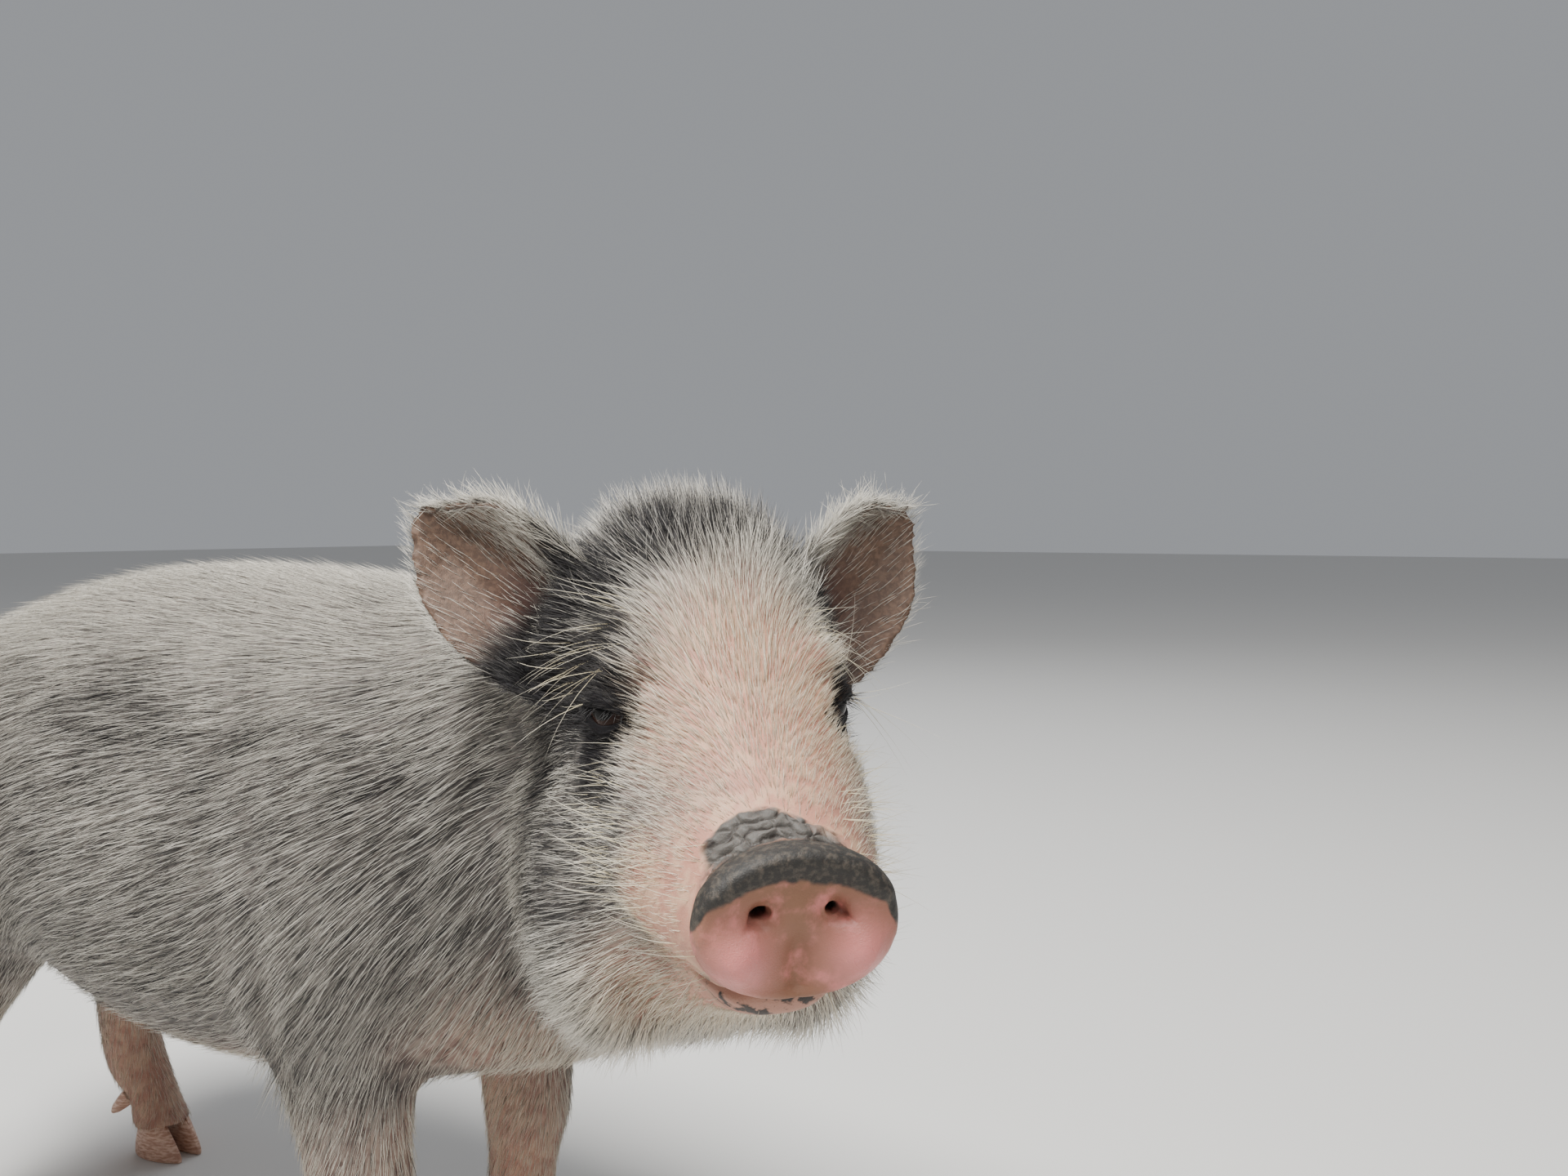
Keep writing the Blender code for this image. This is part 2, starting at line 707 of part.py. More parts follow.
# A main claw: level, how far its front and back reach, half width
CLAW = (
    (0.0000, 0.0205, 0.0130, 0.0058),
    (0.0020, 0.0210, 0.0135, 0.0063),
    (0.0070, 0.0175, 0.0130, 0.0064),
    (0.0130, 0.0122, 0.0114, 0.0058),
    (0.0185, 0.0070, 0.0095, 0.0046),
)
CLAW_SPREAD = 0.0072
CLAW_SIDES = 14
CLAW_INNER = 0.86
CLAW_POINTED = 0.30
CLAW_TOE_IN = 0.0016


def claw(name, x, foot_y, outward):
    """One hoofed toe with a flat sole, rounded at the front and straight on its inner side."""
    rings = []
    for level, ahead, behind, half_width in CLAW:
        ring = []
        for k in range(CLAW_SIDES):
            turn = 2 * math.pi * k / CLAW_SIDES
            across, along = math.cos(turn), math.sin(turn)
            reach = ahead if along > 0 else behind
            inner = CLAW_INNER if across * outward < 0 else 1.0
            point = x + half_width * inner * across * (1 - CLAW_POINTED * max(along, 0) ** 2)
            toe_in = -outward * CLAW_TOE_IN * max(along, 0) ** 2
            ring.append((point + toe_in, foot_y - reach * along, level))
        rings.append(ring)
    return loft(name, rings)


# A dewclaw: distance from its root, radius
DEWCLAW = ((0.0, 0.0046), (0.006, 0.0042), (0.011, 0.0030), (0.0145, 0.0012))
DEWCLAW_SIDES = 7
DEWCLAW_LEVEL = 0.031
DEWCLAW_SPREAD = 0.0090
DEWCLAW_BACK = 0.55
DEWCLAW_WAY = Vector((0.35, 0.75, -0.80))


def dewclaw(name, root, direction):
    rows = []
    for distance, radius in DEWCLAW:
        rows.append((*(Vector(root) + Vector(direction).normalized() * distance), radius))
    return tube(name, rows, DEWCLAW_SIDES)


# Locks: share of the length, share of the width and of the thickness at each section
LOCK_SECTIONS = (
    (0.00, 0.85, 1.00),
    (0.28, 1.00, 0.95),
    (0.55, 0.80, 0.75),
    (0.80, 0.48, 0.55),
    (1.00, 0.07, 0.25),
)
LOCK_SINK = 0.0040


def lock(name, root, normal, lie, size, lift, droop):
    """A flat tapered lock of hair that leaves the skin by its lift and bends down along its lie."""
    length, width, thickness = size
    lie = (lie - normal * lie.dot(normal)).normalized()
    across = lie.cross(normal).normalized()
    spot = root - (normal * lift + lie * (1 - lift)).normalized() * LOCK_SINK
    total = length + LOCK_SINK
    rings = []
    reached = 0.0
    for share, wide, thick in LOCK_SECTIONS:
        rise = lift - droop * share
        along = (normal * rise + lie * (1 - abs(rise))).normalized()
        spot = spot + along * total * (share - reached)
        reached = share
        up = across.cross(along).normalized()
        half_width = across * width * wide / 2
        half_thickness = up * thickness * thick / 2
        rings.append([spot + half_width, spot + half_thickness, spot - half_width, spot - half_thickness])
    return loft(name, rings)


def surface_of(made):
    mesh = bmesh.new()
    mesh.from_mesh(made.data)
    tree = BVHTree.FromBMesh(mesh)
    mesh.free()
    return tree


# Bristles on the poll: distance behind the eyes of each row, half width, how many, lift and length
POLL_ROWS = (
    (0.030, 0.016, 4, 0.20, 0.014),
    (0.040, 0.020, 5, 0.28, 0.016),
    (0.050, 0.022, 5, 0.34, 0.018),
    (0.059, 0.021, 5, 0.44, 0.018),
)
# The crest goes on along the middle of the neck, lying further back on the way
NAPE_ROWS = (
    (0.086, 0.017, 4, 0.40, 0.022),
    (0.096, 0.015, 4, 0.36, 0.023),
    (0.106, 0.013, 3, 0.32, 0.023),
    (0.116, 0.011, 3, 0.28, 0.021),
)
NAPE_BEND = 0.35
LOCK_WIDTH = 0.0100
LOCK_THICKNESS = 0.0024
LOCK_DROOP = 0.34
CREST_JITTER = 0.0012
CREST_FAN = 0.48
ABOVE_HEAD = 0.12


def crest(name, made, rows, bend, draw):
    """Rows of bristles across the top of the head or neck, each row shifted by half a lock."""
    surface = surface_of(made)
    turn = HEAD.to_3x3()
    first_back = rows[0][0]
    locks = []
    for row, (back, half_width, count, lift, length) in enumerate(rows):
        for k in range(count):
            share = (k + 0.25 + 0.5 * (row % 2)) / count
            x = half_width * (2 * share - 1) + draw.uniform(-CREST_JITTER, CREST_JITTER)
            y = back + draw.uniform(-CREST_JITTER, CREST_JITTER)
            start = HEAD @ Vector((x + bend * (back - first_back), y, ABOVE_HEAD))
            root, normal = surface.ray_cast(start, turn @ Vector((0, 0, -1)))[:2]
            lie = turn @ (Vector((bend, 1, 0)).normalized() + Vector((CREST_FAN * x / half_width, 0, 0)))
            size = (length * draw.uniform(0.88, 1.12), LOCK_WIDTH, LOCK_THICKNESS)
            rise = lift * draw.uniform(0.90, 1.08)
            locks.append(lock(f"{name}_{row}_{k}", root, normal, lie, size, rise, LOCK_DROOP))
    return locks


SWITCH_LOCKS = 5
SWITCH_LENGTH = 0.030
SWITCH_WIDTH = 0.0070
SWITCH_THICKNESS = 0.0020
SWITCH_STEP = 0.006
SWITCH_LIFT = 0.30
SWITCH_DROOP = 0.42


def tail_switch(draw):
    """The tuft at the end of the tail."""
    locks = []
    for k in range(SWITCH_LOCKS):
        turn = 2 * math.pi * (k + 0.3) / SWITCH_LOCKS
        normal = Vector((math.cos(turn), math.sin(turn), 0))
        start = Vector(TAIL_LINE[-2]) + Vector((0, 0, (k % 2) * SWITCH_STEP)) + normal * TAIL_RADIUS[-2] * 0.8
        size = (SWITCH_LENGTH * draw.uniform(0.85, 1.10), SWITCH_WIDTH, SWITCH_THICKNESS)
        down = Vector((0, 0, -1))
        locks.append(lock(f"switch_{k}", start, normal, down, size, SWITCH_LIFT, SWITCH_DROOP))
    return locks


LOOKS = {
    "hide": ((0.62, 0.58, 0.54), 0.80),
    "face": ((0.70, 0.60, 0.54), 0.72),
    "ear": ((0.55, 0.40, 0.34), 0.70),
    "disc": ((0.74, 0.50, 0.46), 0.45),
    "eye": ((0.030, 0.018, 0.012), 0.08),
    "horn": ((0.60, 0.44, 0.36), 0.50),
}


def dress(made, look):
    colour, roughness = LOOKS[look]
    material = bpy.data.materials.new(made.name)
    material.use_nodes = True
    shader = material.node_tree.nodes["Principled BSDF"]
    shader.inputs["Base Color"].default_value = (*colour, 1)
    shader.inputs["Roughness"].default_value = roughness
    shader.inputs["Metallic"].default_value = 0
    made.data.materials.clear()
    made.data.materials.append(material)


def feet(nodes):
    """Two claws and two dewclaws on each leg, which is cut to sit on them."""
    for end, stations, foot_y in (("fore", FORELEG, FOREFOOT_Y), ("hind", HINDLEG, HINDFOOT_Y)):
        for side, tag in ((1, "left"), (-1, "right")):
            limb = nodes[f"{end}leg_{tag}"]
            slice_off(limb, (0, foot_y, CORONET_LEVEL), (0, CORONET_SLOPE, 1))
            for outward, place in ((1, "outer"), (-1, "inner")):
                x = side * (stations[0][1] + outward * CLAW_SPREAD)
                toe = claw(f"claw_{end}_{tag}_{place}", x, foot_y, side * outward)
                boolean(limb, grown(toe, "claw_room", GAP), "DIFFERENCE")
                nodes[toe.name] = toe
                heel = stations[1]
                across = side * (heel[1] + outward * DEWCLAW_SPREAD)
                root = (across, foot_y + heel[2] + heel[4] * DEWCLAW_BACK, DEWCLAW_LEVEL)
                way = DEWCLAW_WAY * Vector((side * outward, 1, 1))
                spur = dewclaw(f"dewclaw_{end}_{tag}_{place}", root, way)
                boolean(limb, grown(spur, "dewclaw_room", GAP), "DIFFERENCE")
                nodes[spur.name] = spur


def build():
    nodes = {}
    body = clay_body()
    head = clay_head()
    slice_off(head, *HEAD_BACK)
    back, way = DISC_BACK
    slice_off(head, back, -way)

    neck_piece = slice_off(copy_of(body, "neck"), HEAD_BACK[0], -HEAD_BACK[1], GAP)
    slice_off(neck_piece, *NECK_BACK)
    torso = slice_off(copy_of(body, "torso"), NECK_BACK[0], -NECK_BACK[1], GAP)
    for end, foot_y in (("fore", FOREFOOT_Y), ("hind", HINDFOOT_Y)):
        for side, tag in ((1, "left"), (-1, "right")):
            limb = copy_of(torso, f"{end}leg_{tag}")
            part = leg_box("leg_part", side, foot_y, LEG_TOPS[end], LEG_REACH[end], GAP)
            boolean(limb, part, "INTERSECT")
            nodes[limb.name] = limb
    for end, foot_y in (("fore", FOREFOOT_Y), ("hind", HINDFOOT_Y)):
        for side in (1, -1):
            part = leg_box("leg_room", side, foot_y, LEG_TOPS[end], LEG_REACH[end], 0)
            boolean(torso, part, "DIFFERENCE")
    bpy.data.objects.remove(body)

    head.name = "head"
    for side, tag in ((1, "left"), (-1, "right")):
        bulge = eyeball("lid_bulge", side, EYE_RADIUS + LID_THICKNESS, (20, 14))
        unite(head, [bulge])
        boolean(head, lid_opening("lid_opening", side), "DIFFERENCE")
        boolean(head, eyeball("eye_socket", side, EYE_RADIUS + GAP, (18, 11)), "DIFFERENCE")
        nodes[f"eye_{tag}"] = eyeball(f"eye_{tag}", side, EYE_RADIUS, (18, 11))
    boolean(head, mouth_groove(head), "DIFFERENCE")
    head_room = grown(head, "head_room", GAP)
    draw = random.Random(SEED)
    unite(head, crest("poll", head, POLL_ROWS, 0.0, draw))
    unite(neck_piece, crest("nape", neck_piece, NAPE_ROWS, NAPE_BEND, draw))
    nodes["head"] = head
    nodes["neck"] = neck_piece
    nodes["torso"] = torso
    nodes["snout_disc"] = snout_disc()
    for side, tag in ((1, "left"), (-1, "right")):
        leaf = ear(f"ear_{tag}", side)
        boolean(leaf, head_room, "DIFFERENCE", keep_tool=True)
        nodes[leaf.name] = leaf
    bpy.data.objects.remove(head_room)
    switch = tail()
    boolean(switch, grown(torso, "torso_room", GAP), "DIFFERENCE")
    unite(switch, tail_switch(draw))
    nodes["tail"] = switch
    feet(nodes)
    return nodes


def look_for(name):
    if name.startswith(("claw", "dewclaw")):
        return "horn"
    for word, look in (("eye", "eye"), ("ear_", "ear"), ("snout", "disc"), ("head", "face")):
        if name.startswith(word):
            return look
    return "hide"


def finish(nodes):
    """Sets the origin at the middle of the model's box, on the floor, and files the nodes."""
    corners = np.array([vert.co for made in nodes.values() for vert in made.data.vertices])
    low, high = corners.min(axis=0), corners.max(axis=0)
    shift = Vector((-(low[0] + high[0]) / 2, -(low[1] + high[1]) / 2, -low[2]))
    group = bpy.data.collections.new(NAME)
    bpy.context.scene.collection.children.link(group)
    total = 0
    for name in sorted(nodes):
        made = nodes[name]
        made.name = name
        made.data.name = name
        made.data.transform(Matrix.Translation(shift))
        tidy = bmesh.new()
        tidy.from_mesh(made.data)
        bmesh.ops.triangulate(tidy, faces=tidy.faces)
        tidy.to_mesh(made.data)
        tidy.free()
        total += len(made.data.polygons)
        made.data.shade_smooth()
        made.data.set_sharp_from_angle(angle=math.radians(50))
        dress(made, look_for(name))
        bpy.context.scene.collection.objects.unlink(made)
        group.objects.link(made)
        print(f"{name}: {len(made.data.polygons)} triangles")
    print("total", total, "triangles, moved by", [round(v, 5) for v in shift])
    return shift


def main():
    for old in list(bpy.data.objects):
        bpy.data.objects.remove(old)
    nodes = build()
    return finish(nodes)


SHIFT = main()
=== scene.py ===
import json
import math

import bmesh
import bpy
import numpy as np
from mathutils import Euler, Matrix, Vector, noise
from mathutils.bvhtree import BVHTree

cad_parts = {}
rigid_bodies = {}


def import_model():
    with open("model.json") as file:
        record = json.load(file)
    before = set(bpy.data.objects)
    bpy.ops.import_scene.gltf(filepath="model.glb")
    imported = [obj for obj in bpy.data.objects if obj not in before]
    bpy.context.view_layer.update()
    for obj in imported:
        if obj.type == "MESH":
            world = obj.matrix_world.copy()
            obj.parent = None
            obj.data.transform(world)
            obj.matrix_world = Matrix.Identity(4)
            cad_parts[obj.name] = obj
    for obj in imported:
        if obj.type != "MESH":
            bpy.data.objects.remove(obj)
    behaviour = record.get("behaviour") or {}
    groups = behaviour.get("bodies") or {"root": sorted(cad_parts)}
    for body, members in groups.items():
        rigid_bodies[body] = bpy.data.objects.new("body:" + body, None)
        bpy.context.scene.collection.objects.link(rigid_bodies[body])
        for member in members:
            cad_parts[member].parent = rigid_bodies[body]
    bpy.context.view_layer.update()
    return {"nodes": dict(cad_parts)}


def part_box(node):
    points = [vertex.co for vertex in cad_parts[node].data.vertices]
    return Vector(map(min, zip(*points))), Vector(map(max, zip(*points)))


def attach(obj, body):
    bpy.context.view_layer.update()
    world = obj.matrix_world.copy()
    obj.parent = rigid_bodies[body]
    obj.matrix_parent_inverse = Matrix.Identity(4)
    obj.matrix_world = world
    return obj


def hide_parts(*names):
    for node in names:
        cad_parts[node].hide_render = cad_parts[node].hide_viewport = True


# A young kunekune pig, life size: one skin over the frame's flesh, solid hairs that follow its lie,
# eyes, claws, and the long hairs of brow, lashes, ears, chin, muzzle and poll.

for leftOver in list(bpy.data.objects):
    bpy.data.objects.remove(leftOver)
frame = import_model()


# Stage, light and camera

viewPoint = {
    "spot": (-0.3668, -0.4359, 0.335),  # metres, in the frame
    "heading": -60.0,  # degrees from +Y
    "dip": 2.8,
    "lens": 30.94,
    "sensor": 36.0,
}


def buildCamera():
    data = bpy.data.cameras.new("viewCamera")
    data.lens = viewPoint["lens"]
    data.sensor_width = viewPoint["sensor"]
    data.clip_start = 0.02
    camera = bpy.data.objects.new("viewCamera", data)
    camera.location = viewPoint["spot"]
    camera.rotation_euler = (math.radians(90 - viewPoint["dip"]), 0, math.radians(viewPoint["heading"]))
    bpy.context.scene.collection.objects.link(camera)
    bpy.context.scene.camera = camera


stageLook = {
    "half": 14.0,
    "floor": (0.66, 0.65, 0.63),
    "sky": (0.86, 0.89, 0.94),
    "skyStrength": 0.38,
    # name, place, size, power, tint
    "lamps": (
        ("overhead", (-0.8, 0.2, 2.1), 0.9, 100, (1.0, 0.99, 0.96)),
        ("window", (-1.0, -1.5, 2.3), 1.0, 32, (1.0, 0.98, 0.95)),
        ("backFill", (1.5, 1.0, 1.8), 1.6, 14, (0.93, 0.96, 1.0)),
    ),
    "lampTarget": (0.0, -0.05, 0.2),
}


def buildStage():
    bpy.ops.mesh.primitive_plane_add(size=2 * stageLook["half"])
    floor = bpy.context.object
    floor.name = "studioFloor"
    floor.data.materials.append(plainMaterial("floorPaint", stageLook["floor"], 0.85))
    world = bpy.data.worlds.new("studioSky")
    bpy.context.scene.world = world
    world.use_nodes = True
    sky = world.node_tree.nodes["Background"]
    sky.inputs["Color"].default_value = (*stageLook["sky"], 1)
    sky.inputs["Strength"].default_value = stageLook["skyStrength"]
    for name, place, size, power, tint in stageLook["lamps"]:
        data = bpy.data.lights.new(name, "AREA")
        data.size = size
        data.energy = power
        data.color = tint
        lamp = bpy.data.objects.new(name, data)
        lamp.location = place
        away = Vector(place) - Vector(stageLook["lampTarget"])
        lamp.rotation_euler = away.to_track_quat("Z", "Y").to_euler()
        bpy.context.scene.collection.objects.link(lamp)


def plainMaterial(name, tint, roughness):
    material = bpy.data.materials.new(name)
    material.use_nodes = True
    shader = material.node_tree.nodes["Principled BSDF"]
    shader.inputs["Base Color"].default_value = (*tint, 1)
    shader.inputs["Roughness"].default_value = roughness
    return material


# Head and body axes, worked out from the frame's eyes and claws

carriage = {
    "turn": -44.8,  # degrees, the head's turn to its right
    "nod": 3.5,
    "eyeCentre": (0.0266, 0.0040, -0.0008),  # of the left eye, from the middle of the face
    "eyeAxis": (0.82, -0.56, 0.08),
    "eyeRadius": 0.0108,
    "clawToFoot": 0.00375,
    "foreFoot": -0.009,
}


def middleOf(node):
    low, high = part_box(node)
    return (low + high) / 2


turnOfHead = Euler((math.radians(carriage["nod"]), 0, math.radians(carriage["turn"])), "XYZ").to_matrix()
betweenEyes = (middleOf("eye_left") + middleOf("eye_right")) / 2
eyeOffset = turnOfHead @ Vector((0, *carriage["eyeCentre"][1:]))
headFrame = Matrix.Translation(betweenEyes - eyeOffset) @ turnOfHead.to_4x4()
foreClaws = [middleOf(f"claw_fore_{side}_outer") for side in ("left", "right")]
bodyOrigin = Vector((
    (foreClaws[0].x + foreClaws[1].x) / 2,
    foreClaws[0].y + carriage["clawToFoot"] - carriage["foreFoot"],
    0,
))


def eyeFrame(side):
    # looks along its own -Y, with Z up
    x, y, z = carriage["eyeAxis"]
    back = -Vector((side * x, y, z)).normalized()
    across = back.cross(Vector((0, 0, 1))).normalized()
    turn = Matrix((across, back, across.cross(back))).transposed().to_4x4()
    x, y, z = carriage["eyeCentre"]
    return headFrame @ Matrix.Translation((side * x, y, z)) @ turn


# Small tools for meshes and point fields

def newObject(name, data):
    made = bpy.data.objects.new(name, data)
    bpy.context.scene.collection.objects.link(made)
    return made


def pointsOf(data):
    flat = np.empty(len(data.vertices) * 3, np.float32)
    data.vertices.foreach_get("co", flat)
    return flat.reshape(-1, 3).astype(float)


def normalsOf(data):
    flat = np.empty(len(data.vertices) * 3, np.float32)
    data.vertices.foreach_get("normal", flat)
    return flat.reshape(-1, 3).astype(float)


def setPoints(data, points):
    data.vertices.foreach_set("co", points.astype(np.float32).ravel())
    data.update()


def edgesOf(data):
    flat = np.empty(len(data.edges) * 2, np.int32)
    data.edges.foreach_get("vertices", flat)
    return flat.reshape(-1, 2)


def seenFrom(matrix, points):
    inverse = np.array(matrix.inverted())
    return points @ inverse[:3, :3].T + inverse[:3, 3]


def placedBy(matrix, points):
    matrix = np.array(matrix)
    return points @ matrix[:3, :3].T + matrix[:3, 3]


def ramp(value, low, high):
    t = np.clip((value - low) / (high - low), 0, 1)
    return t * t * (3 - 2 * t)


def bump(value, middle, width):
    return np.exp(-((value - middle) / width) ** 2)


def wobble(points, scale, offset=0.0):
    # a smooth vector field between -1 and 1, about one swing every `scale` metres
    return np.array([noise.noise_vector(Vector(p) / scale + Vector((offset, 0, 0))) for p in points])


def relax(data, rounds, weight):
    points = pointsOf(data)
    weight = np.broadcast_to(np.asarray(weight, float), len(points))
    edges = edgesOf(data)
    edges = edges[(weight[edges] > 0).any(axis=1)]
    used, edges = np.unique(edges, return_inverse=True)
    edges = edges.reshape(-1, 2)
    places, step, total = points[used], 0.5 * weight[used], len(used)
    neighbours = np.maximum(np.bincount(edges.ravel(), minlength=total), 1)
    for _ in range(rounds):
        for axis in range(3):
            line = places[:, axis]
            near = np.bincount(edges[:, 0], line[edges[:, 1]], total)
            near += np.bincount(edges[:, 1], line[edges[:, 0]], total)
            places[:, axis] = line + step * (near / neighbours - line)
    points[used] = places
    setPoints(data, points)


def evaluated(made):
    graph = bpy.context.evaluated_depsgraph_get()
    return bpy.data.meshes.new_from_object(made.evaluated_get(graph), preserve_all_data_layers=True, depsgraph=graph)


def storeValues(data, name, values, kind="FLOAT"):
    layer = data.attributes.get(name) or data.attributes.new(name, kind, "POINT")
    key = "vector" if kind == "FLOAT_VECTOR" else "value"
    layer.data.foreach_set(key, np.ascontiguousarray(values, np.float32).ravel())


def readValues(data, name, width=1):
    layer = data.attributes[name]
    flat = np.empty(len(layer.data) * width, np.float32)
    layer.data.foreach_get("vector" if width == 3 else "value", flat)
    return flat.reshape(-1, width) if width > 1 else flat


# The skin

skinSizes = {
    "voxel": 0.0015,
    "socketFill": 0.0010,  # how far the plugs in the eye sockets stand out of the eyes
    "share": 0.20,  # of the faces are kept where no detail is cut
    # how far the skin lies under the outside of the coat
    "depth": {"head": 0.0010, "neck": 0.0026, "torso": 0.0030, "leg": 0.0014, "ear": 0.0001, "tail": 0.0006, "snout": 0.0},
    "earEdge": 0.0026,  # the fringe stands on the ears' upper edge
    "rounds": 20,
    "bodyRounds": 14,
    "lockRounds": 110,
}


def fleshNodes():
    return [name for name in frame["nodes"] if not name.startswith(("claw", "dewclaw", "eye"))]


def ownersOf(points):
    # the name of the node that lies nearest to each point
    corners, faces, owners = [], [], []
    for name in fleshNodes():
        data = frame["nodes"][name].data
        start = len(corners)
        corners += [v.co[:] for v in data.vertices]
        faces += [[start + k for k in face.vertices] for face in data.polygons]
        owners += [name] * len(data.polygons)
    tree = BVHTree.FromPolygons(corners, faces)
    return np.array([owners[tree.find_nearest(Vector(p))[2]] for p in points])


def startsWith(owners, *words):
    found = np.zeros(len(owners), bool)
    for word in words:
        found |= np.char.startswith(owners, word)
    return found


def fuseFlesh():
    mesh = bmesh.new()
    for name in fleshNodes():
        mesh.from_mesh(frame["nodes"][name].data)
    bmesh.ops.remove_doubles(mesh, verts=mesh.verts, dist=1e-6)
    for side in (1, -1):
        radius = carriage["eyeRadius"] + skinSizes["socketFill"]
        bmesh.ops.create_uvsphere(mesh, u_segments=40, v_segments=24, radius=radius, matrix=eyeFrame(side))
    data = bpy.data.meshes.new("skin")
    mesh.to_mesh(data)
    mesh.free()
    made = newObject("skin", data)
    remesh = made.modifiers.new("fuse", "REMESH")
    remesh.mode = "VOXEL"
    remesh.voxel_size = skinSizes["voxel"]
    made.data = evaluated(made)
    made.modifiers.clear()
    return made


def lockedZone(points):
    # where the solids carry locks: poll, nape and the end of the tail
    head = seenFrom(headFrame, points)
    poll = ramp(head[:, 1], 0.018, 0.032) * ramp(head[:, 2], 0.026, 0.040) * ramp(-head[:, 1], -0.16, -0.14)
    body = points - np.array(bodyOrigin)
    tail = ramp(body[:, 1], 0.325, 0.332) * ramp(-body[:, 2], -0.180, -0.165)
    return np.clip(poll + tail, 0, 1)


def thinBody(made, keep):
    # fewer faces where no detail is cut
    group = made.vertex_groups.new(name="plain")
    group.add([int(k) for k in np.flatnonzero(~keep)], 1.0, "REPLACE")
    thin = made.modifiers.new("thin", "DECIMATE")
    thin.vertex_group = "plain"
    thin.vertex_group_factor = 100
    thin.ratio = skinSizes["share"] + (1 - skinSizes["share"]) * keep.mean()
    made.data = evaluated(made)
    made.modifiers.clear()
    made.vertex_groups.clear()


def refine(made, inside):
    # cuts the faces whose corners all lie inside into four
    mesh = bmesh.new()
    mesh.from_mesh(made.data)
    mesh.verts.ensure_lookup_table()
    edges = [e for e in mesh.edges if inside[e.verts[0].index] and inside[e.verts[1].index]]
    bmesh.ops.subdivide_edges(mesh, edges=edges, cuts=1, use_grid_fill=True, smooth=0.0)
    mesh.to_mesh(made.data)
    mesh.free()


def detailZone(points, near):
    # snout, mouth and eyes; `near` widens it
    head = seenFrom(headFrame, points)
    snout = (head[:, 1] < -0.052 + near) & (head[:, 2] > -0.068 - near)
    eyes = np.zeros(len(points), bool)
    for side in (1, -1):
        local = seenFrom(eyeFrame(side), points)
        eyes |= (np.linalg.norm(local, axis=1) < 0.0215 + near) & (local[:, 1] < 0.001)
    return snout | eyes


# The line of the mouth, in the head's frame: forward, level
mouthShape = {
    "line": ((0.082, -0.0585), (0.070, -0.0583), (0.060, -0.0572), (0.048, -0.0562), (0.038, -0.0550), (0.030, -0.0530),
             (0.023, -0.0495)),
    "depth": 0.0016,
    "halfWidth": 0.0009,
    "lip": 0.0006,
}


def cutMouth(points, normals):
    head = seenFrom(headFrame, points)
    forward = -head[:, 1]
    line = sorted(mouthShape["line"])
    level = np.interp(forward, [row[0] for row in line], [row[1] for row in line])
    off = head[:, 2] - level
    reach = ramp(forward, line[0][0] - 0.001, line[0][0] + 0.010) * (head[:, 2] < -0.035)
    reach *= ramp(-forward, -0.0705, -0.0690)
    push = -mouthShape["depth"] * bump(off, 0, mouthShape["halfWidth"])
    push += mouthShape["lip"] * (bump(off, 0.0022, 0.0014) + bump(off, -0.0024, 0.0016))
    return points + normals * (push * reach)[:, None]


eyeShape = {
    "halfLength": 0.0092,
    "middle": -0.0019,  # the opening's level, from the middle of the eye
    "up": 0.0021,
    "down": 0.0026,
    "pointed": 0.50,
    "margin": 0.0009,  # how far the edge of a lid stands off the eye
    "lid": 0.0017,  # and its middle
    "behind": 0.0026,
    "crease": 0.0050,  # from the edge of the lid
    "brow": 0.0016,
}


def lidDistance(local):
    # distance along the eye from the edge of the lids, in metres, less than 0 in the opening
    length = np.linalg.norm(local, axis=1)
    ahead = np.maximum(-local[:, 1] / length, 0.05)
    x = np.arctan2(local[:, 0] / length, ahead) * carriage["eyeRadius"]
    z = np.arctan2(local[:, 2] / length, ahead) * carriage["eyeRadius"] - eyeShape["middle"]
    share = np.clip((x / eyeShape["halfLength"]) ** 2, 0, 1)
    height = np.where(z > 0, eyeShape["up"], eyeShape["down"]) * (1 - eyeShape["pointed"] * share)
    ratio = np.sqrt((x / eyeShape["halfLength"]) ** 2 + (z / height) ** 2)
    return np.hypot(x, z) * (1 - 1 / np.maximum(ratio, 1e-3)), x, z


def shapeLids(points):
    for side in (1, -1):
        local = seenFrom(eyeFrame(side), points)
        length = np.linalg.norm(local, axis=1)
        near = (length < 0.026) & (local[:, 1] < 0.001)
        part = local[near]
        far = length[near]
        gap, x, z = lidDistance(part)
        shake = wobble(part, 0.0030, 5.0)
        radius = carriage["eyeRadius"]
        over = ramp(z, -0.0010, 0.0014)
        margin = radius + eyeShape["margin"] * (1 + 0.5 * over) * ramp(gap, -0.0002, 0.0003)
        lid = margin + (eyeShape["lid"] - eyeShape["margin"]) * ramp(gap, 0.0003, 0.0022)
        lid += 0.00022 * np.sin(2 * math.pi * (gap + 0.0007 * shake[:, 0]) / 0.0013) * ramp(gap, 0.0008, 0.0020)
        lid -= 0.5 * eyeShape["lid"] * bump(gap + 0.0006 * shake[:, 1], eyeShape["crease"], 0.0009) * (0.5 + 0.5 * over)
        lid = np.where(gap < -0.0002, radius - eyeShape["behind"] * ramp(-gap, 0.0, 0.0006), lid)
        blend = ramp(gap, 0.0034, 0.0080)
        off = gap + 0.0010 * shake[:, 2]
        fold = eyeShape["brow"] * over * bump(off, 0.0100, 0.0034) + 0.0007 * (1 - over) * bump(off, 0.0078, 0.0016)
        fold -= 0.0007 * bump(off, 0.0062, 0.0008) + 0.0005 * bump(off, 0.0098, 0.0007) * (1 - over)
        wanted = lid * (1 - blend) + (far + fold * ramp(-gap, -0.018, -0.013)) * blend
        part *= (wanted / far)[:, None]
        local[near] = part
        points = np.where(near[:, None], placedBy(eyeFrame(side), local), points)
    return points


